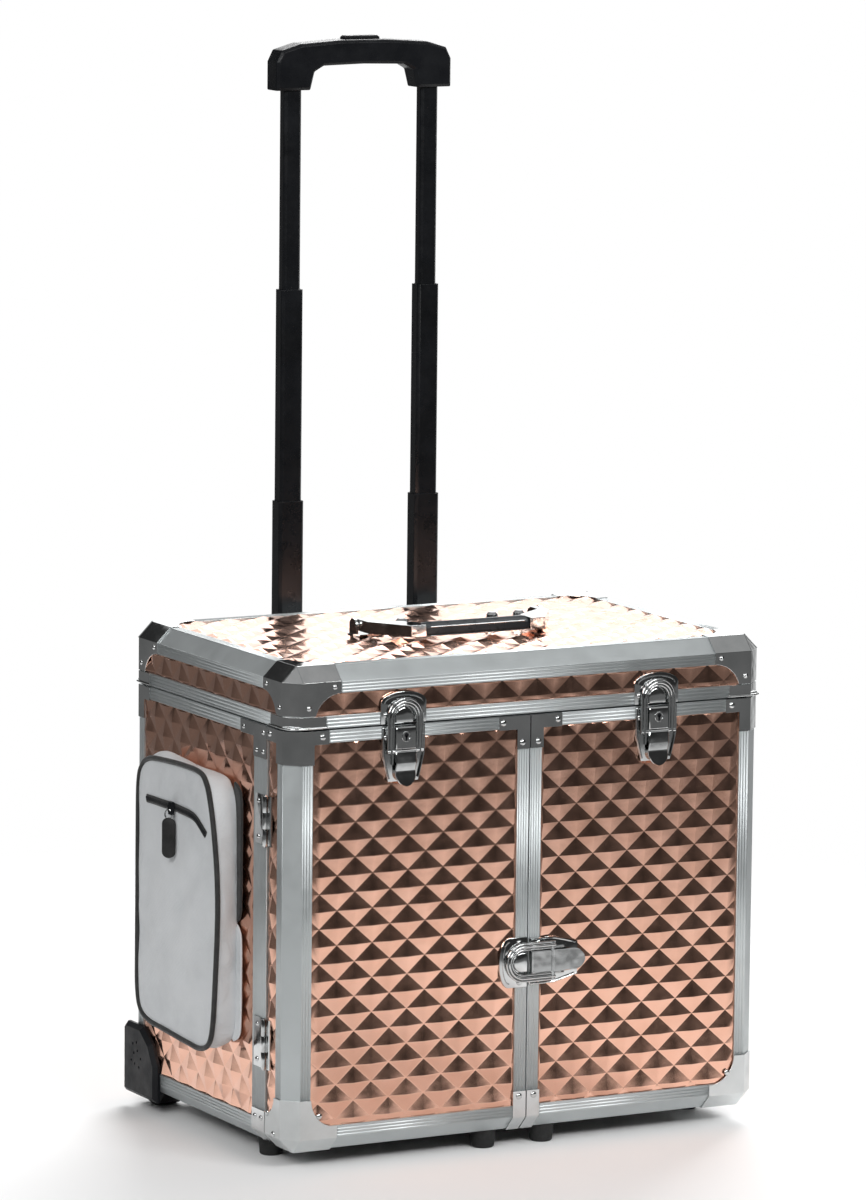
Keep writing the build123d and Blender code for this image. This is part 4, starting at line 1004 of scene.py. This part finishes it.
def studio():
    """Surroundings: a bright wall behind, a soft ceiling and a dark room in front."""
    world = bpy.data.worlds.new("studio")
    scene.world = world
    world.use_nodes = True
    nodes, links = world.node_tree.nodes, world.node_tree.links
    back, out = nodes["Background"], nodes["World Output"]
    where = nodes.new("ShaderNodeTexCoord").outputs["Generated"]

    def facing(direction, low, high):
        dot = nodes.new("ShaderNodeVectorMath")
        dot.operation = "DOT_PRODUCT"
        dot.inputs[1].default_value = direction
        links.new(where, dot.inputs[0])
        span = nodes.new("ShaderNodeMapRange")
        span.interpolation_type = "SMOOTHSTEP"
        span.inputs["From Min"].default_value = low
        span.inputs["From Max"].default_value = high
        links.new(dot.outputs["Value"], span.inputs["Value"])
        return span.outputs["Result"]

    def greater(a, b):
        node = nodes.new("ShaderNodeMath")
        node.operation = "MAXIMUM"
        links.new(a, node.inputs[0])
        links.new(b, node.inputs[1])
        return node.outputs[0]

    def plus(a, b):
        node = nodes.new("ShaderNodeMath")
        links.new(a, node.inputs[0])
        links.new(b, node.inputs[1])
        return node.outputs[0]

    def scaled(value, factor):
        node = nodes.new("ShaderNodeMath")
        node.operation = "MULTIPLY"
        node.inputs[1].default_value = factor
        links.new(value, node.inputs[0])
        return node.outputs[0]

    wall = scaled(facing((0.47, 0.88, 0), 0.78, 0.95), 1.5)
    ceiling = scaled(facing((0, 0, 1), 0.45, 0.75), 0.42)
    ground = scaled(facing((0, 0, -1), -0.02, 0.10), 0.13)
    base = nodes.new("ShaderNodeValue")
    base.outputs[0].default_value = 0.035
    level = plus(greater(wall, greater(ceiling, ground)), base.outputs[0])
    links.new(level, back.inputs["Strength"])
    paper = nodes.new("ShaderNodeBackground")
    paper.inputs["Color"].default_value = (1, 1, 1, 1)
    paper.inputs["Strength"].default_value = 1.0
    rays = nodes.new("ShaderNodeLightPath")
    mix = nodes.new("ShaderNodeMixShader")
    links.new(rays.outputs["Is Camera Ray"], mix.inputs["Fac"])
    links.new(back.outputs[0], mix.inputs[1])
    links.new(paper.outputs[0], mix.inputs[2])
    links.new(mix.outputs[0], out.inputs["Surface"])
    back.inputs["Color"].default_value = (1, 1, 1, 1)


def softbox(name, place, aim, size, power):
    """A square soft light at place, aimed at a point; both in metres."""
    light = bpy.data.lights.new(name, "AREA")
    light.shape = "RECTANGLE"
    light.size, light.size_y = size
    light.energy = power
    obj = bpy.data.objects.new(name, light)
    scene.collection.objects.link(obj)
    obj.location = place
    obj.rotation_euler = (Vector(aim) - Vector(place)).to_track_quat("-Z", "Y").to_euler()


def lights():
    softbox("key", (1.5, 2.0, 2.7), (0, 0, 0.3), (1.8, 1.8), 105)
    softbox("fill", (-2.4, -1.9, 2.0), (0, 0, 0.3), (1.8, 1.2), 58)
    softbox("front", (0.6, -3.2, 2.3), (0, -0.2, 0.0), (2.2, 0.8), 62)


def camera():
    """The camera at the photograph's viewing angle."""
    place = Vector((-2669.2, -4925.3, 1272.65))
    yaw, pitch, roll = 0.49442, -0.14636, 0.01053
    ahead = Vector((math.sin(yaw) * math.cos(pitch), math.cos(yaw) * math.cos(pitch), math.sin(pitch)))
    level = Vector((math.cos(yaw), -math.sin(yaw), 0))
    over = level.cross(ahead)
    right = math.cos(roll) * level + math.sin(roll) * over
    up = math.cos(roll) * over - math.sin(roll) * level
    data = bpy.data.cameras.new("camera")
    data.sensor_width = 36
    data.lens = 199.5
    data.clip_end = 100
    obj = bpy.data.objects.new("camera", data)
    scene.collection.objects.link(obj)
    turn = Matrix((right, up, -ahead)).transposed().to_4x4()
    obj.matrix_world = Matrix.Translation(place * MM + CENTRE) @ turn
    scene.camera = obj


embossed_sheets()
flanges()
rivets()
corner_trim()
handle_grip()
latches()
bag_shell()
bag_piping()
bag_zip()
bag_backing()
zip_puller()
dress_frame()
floor()
studio()
lights()
camera()
scene.view_settings.view_transform = "Standard"
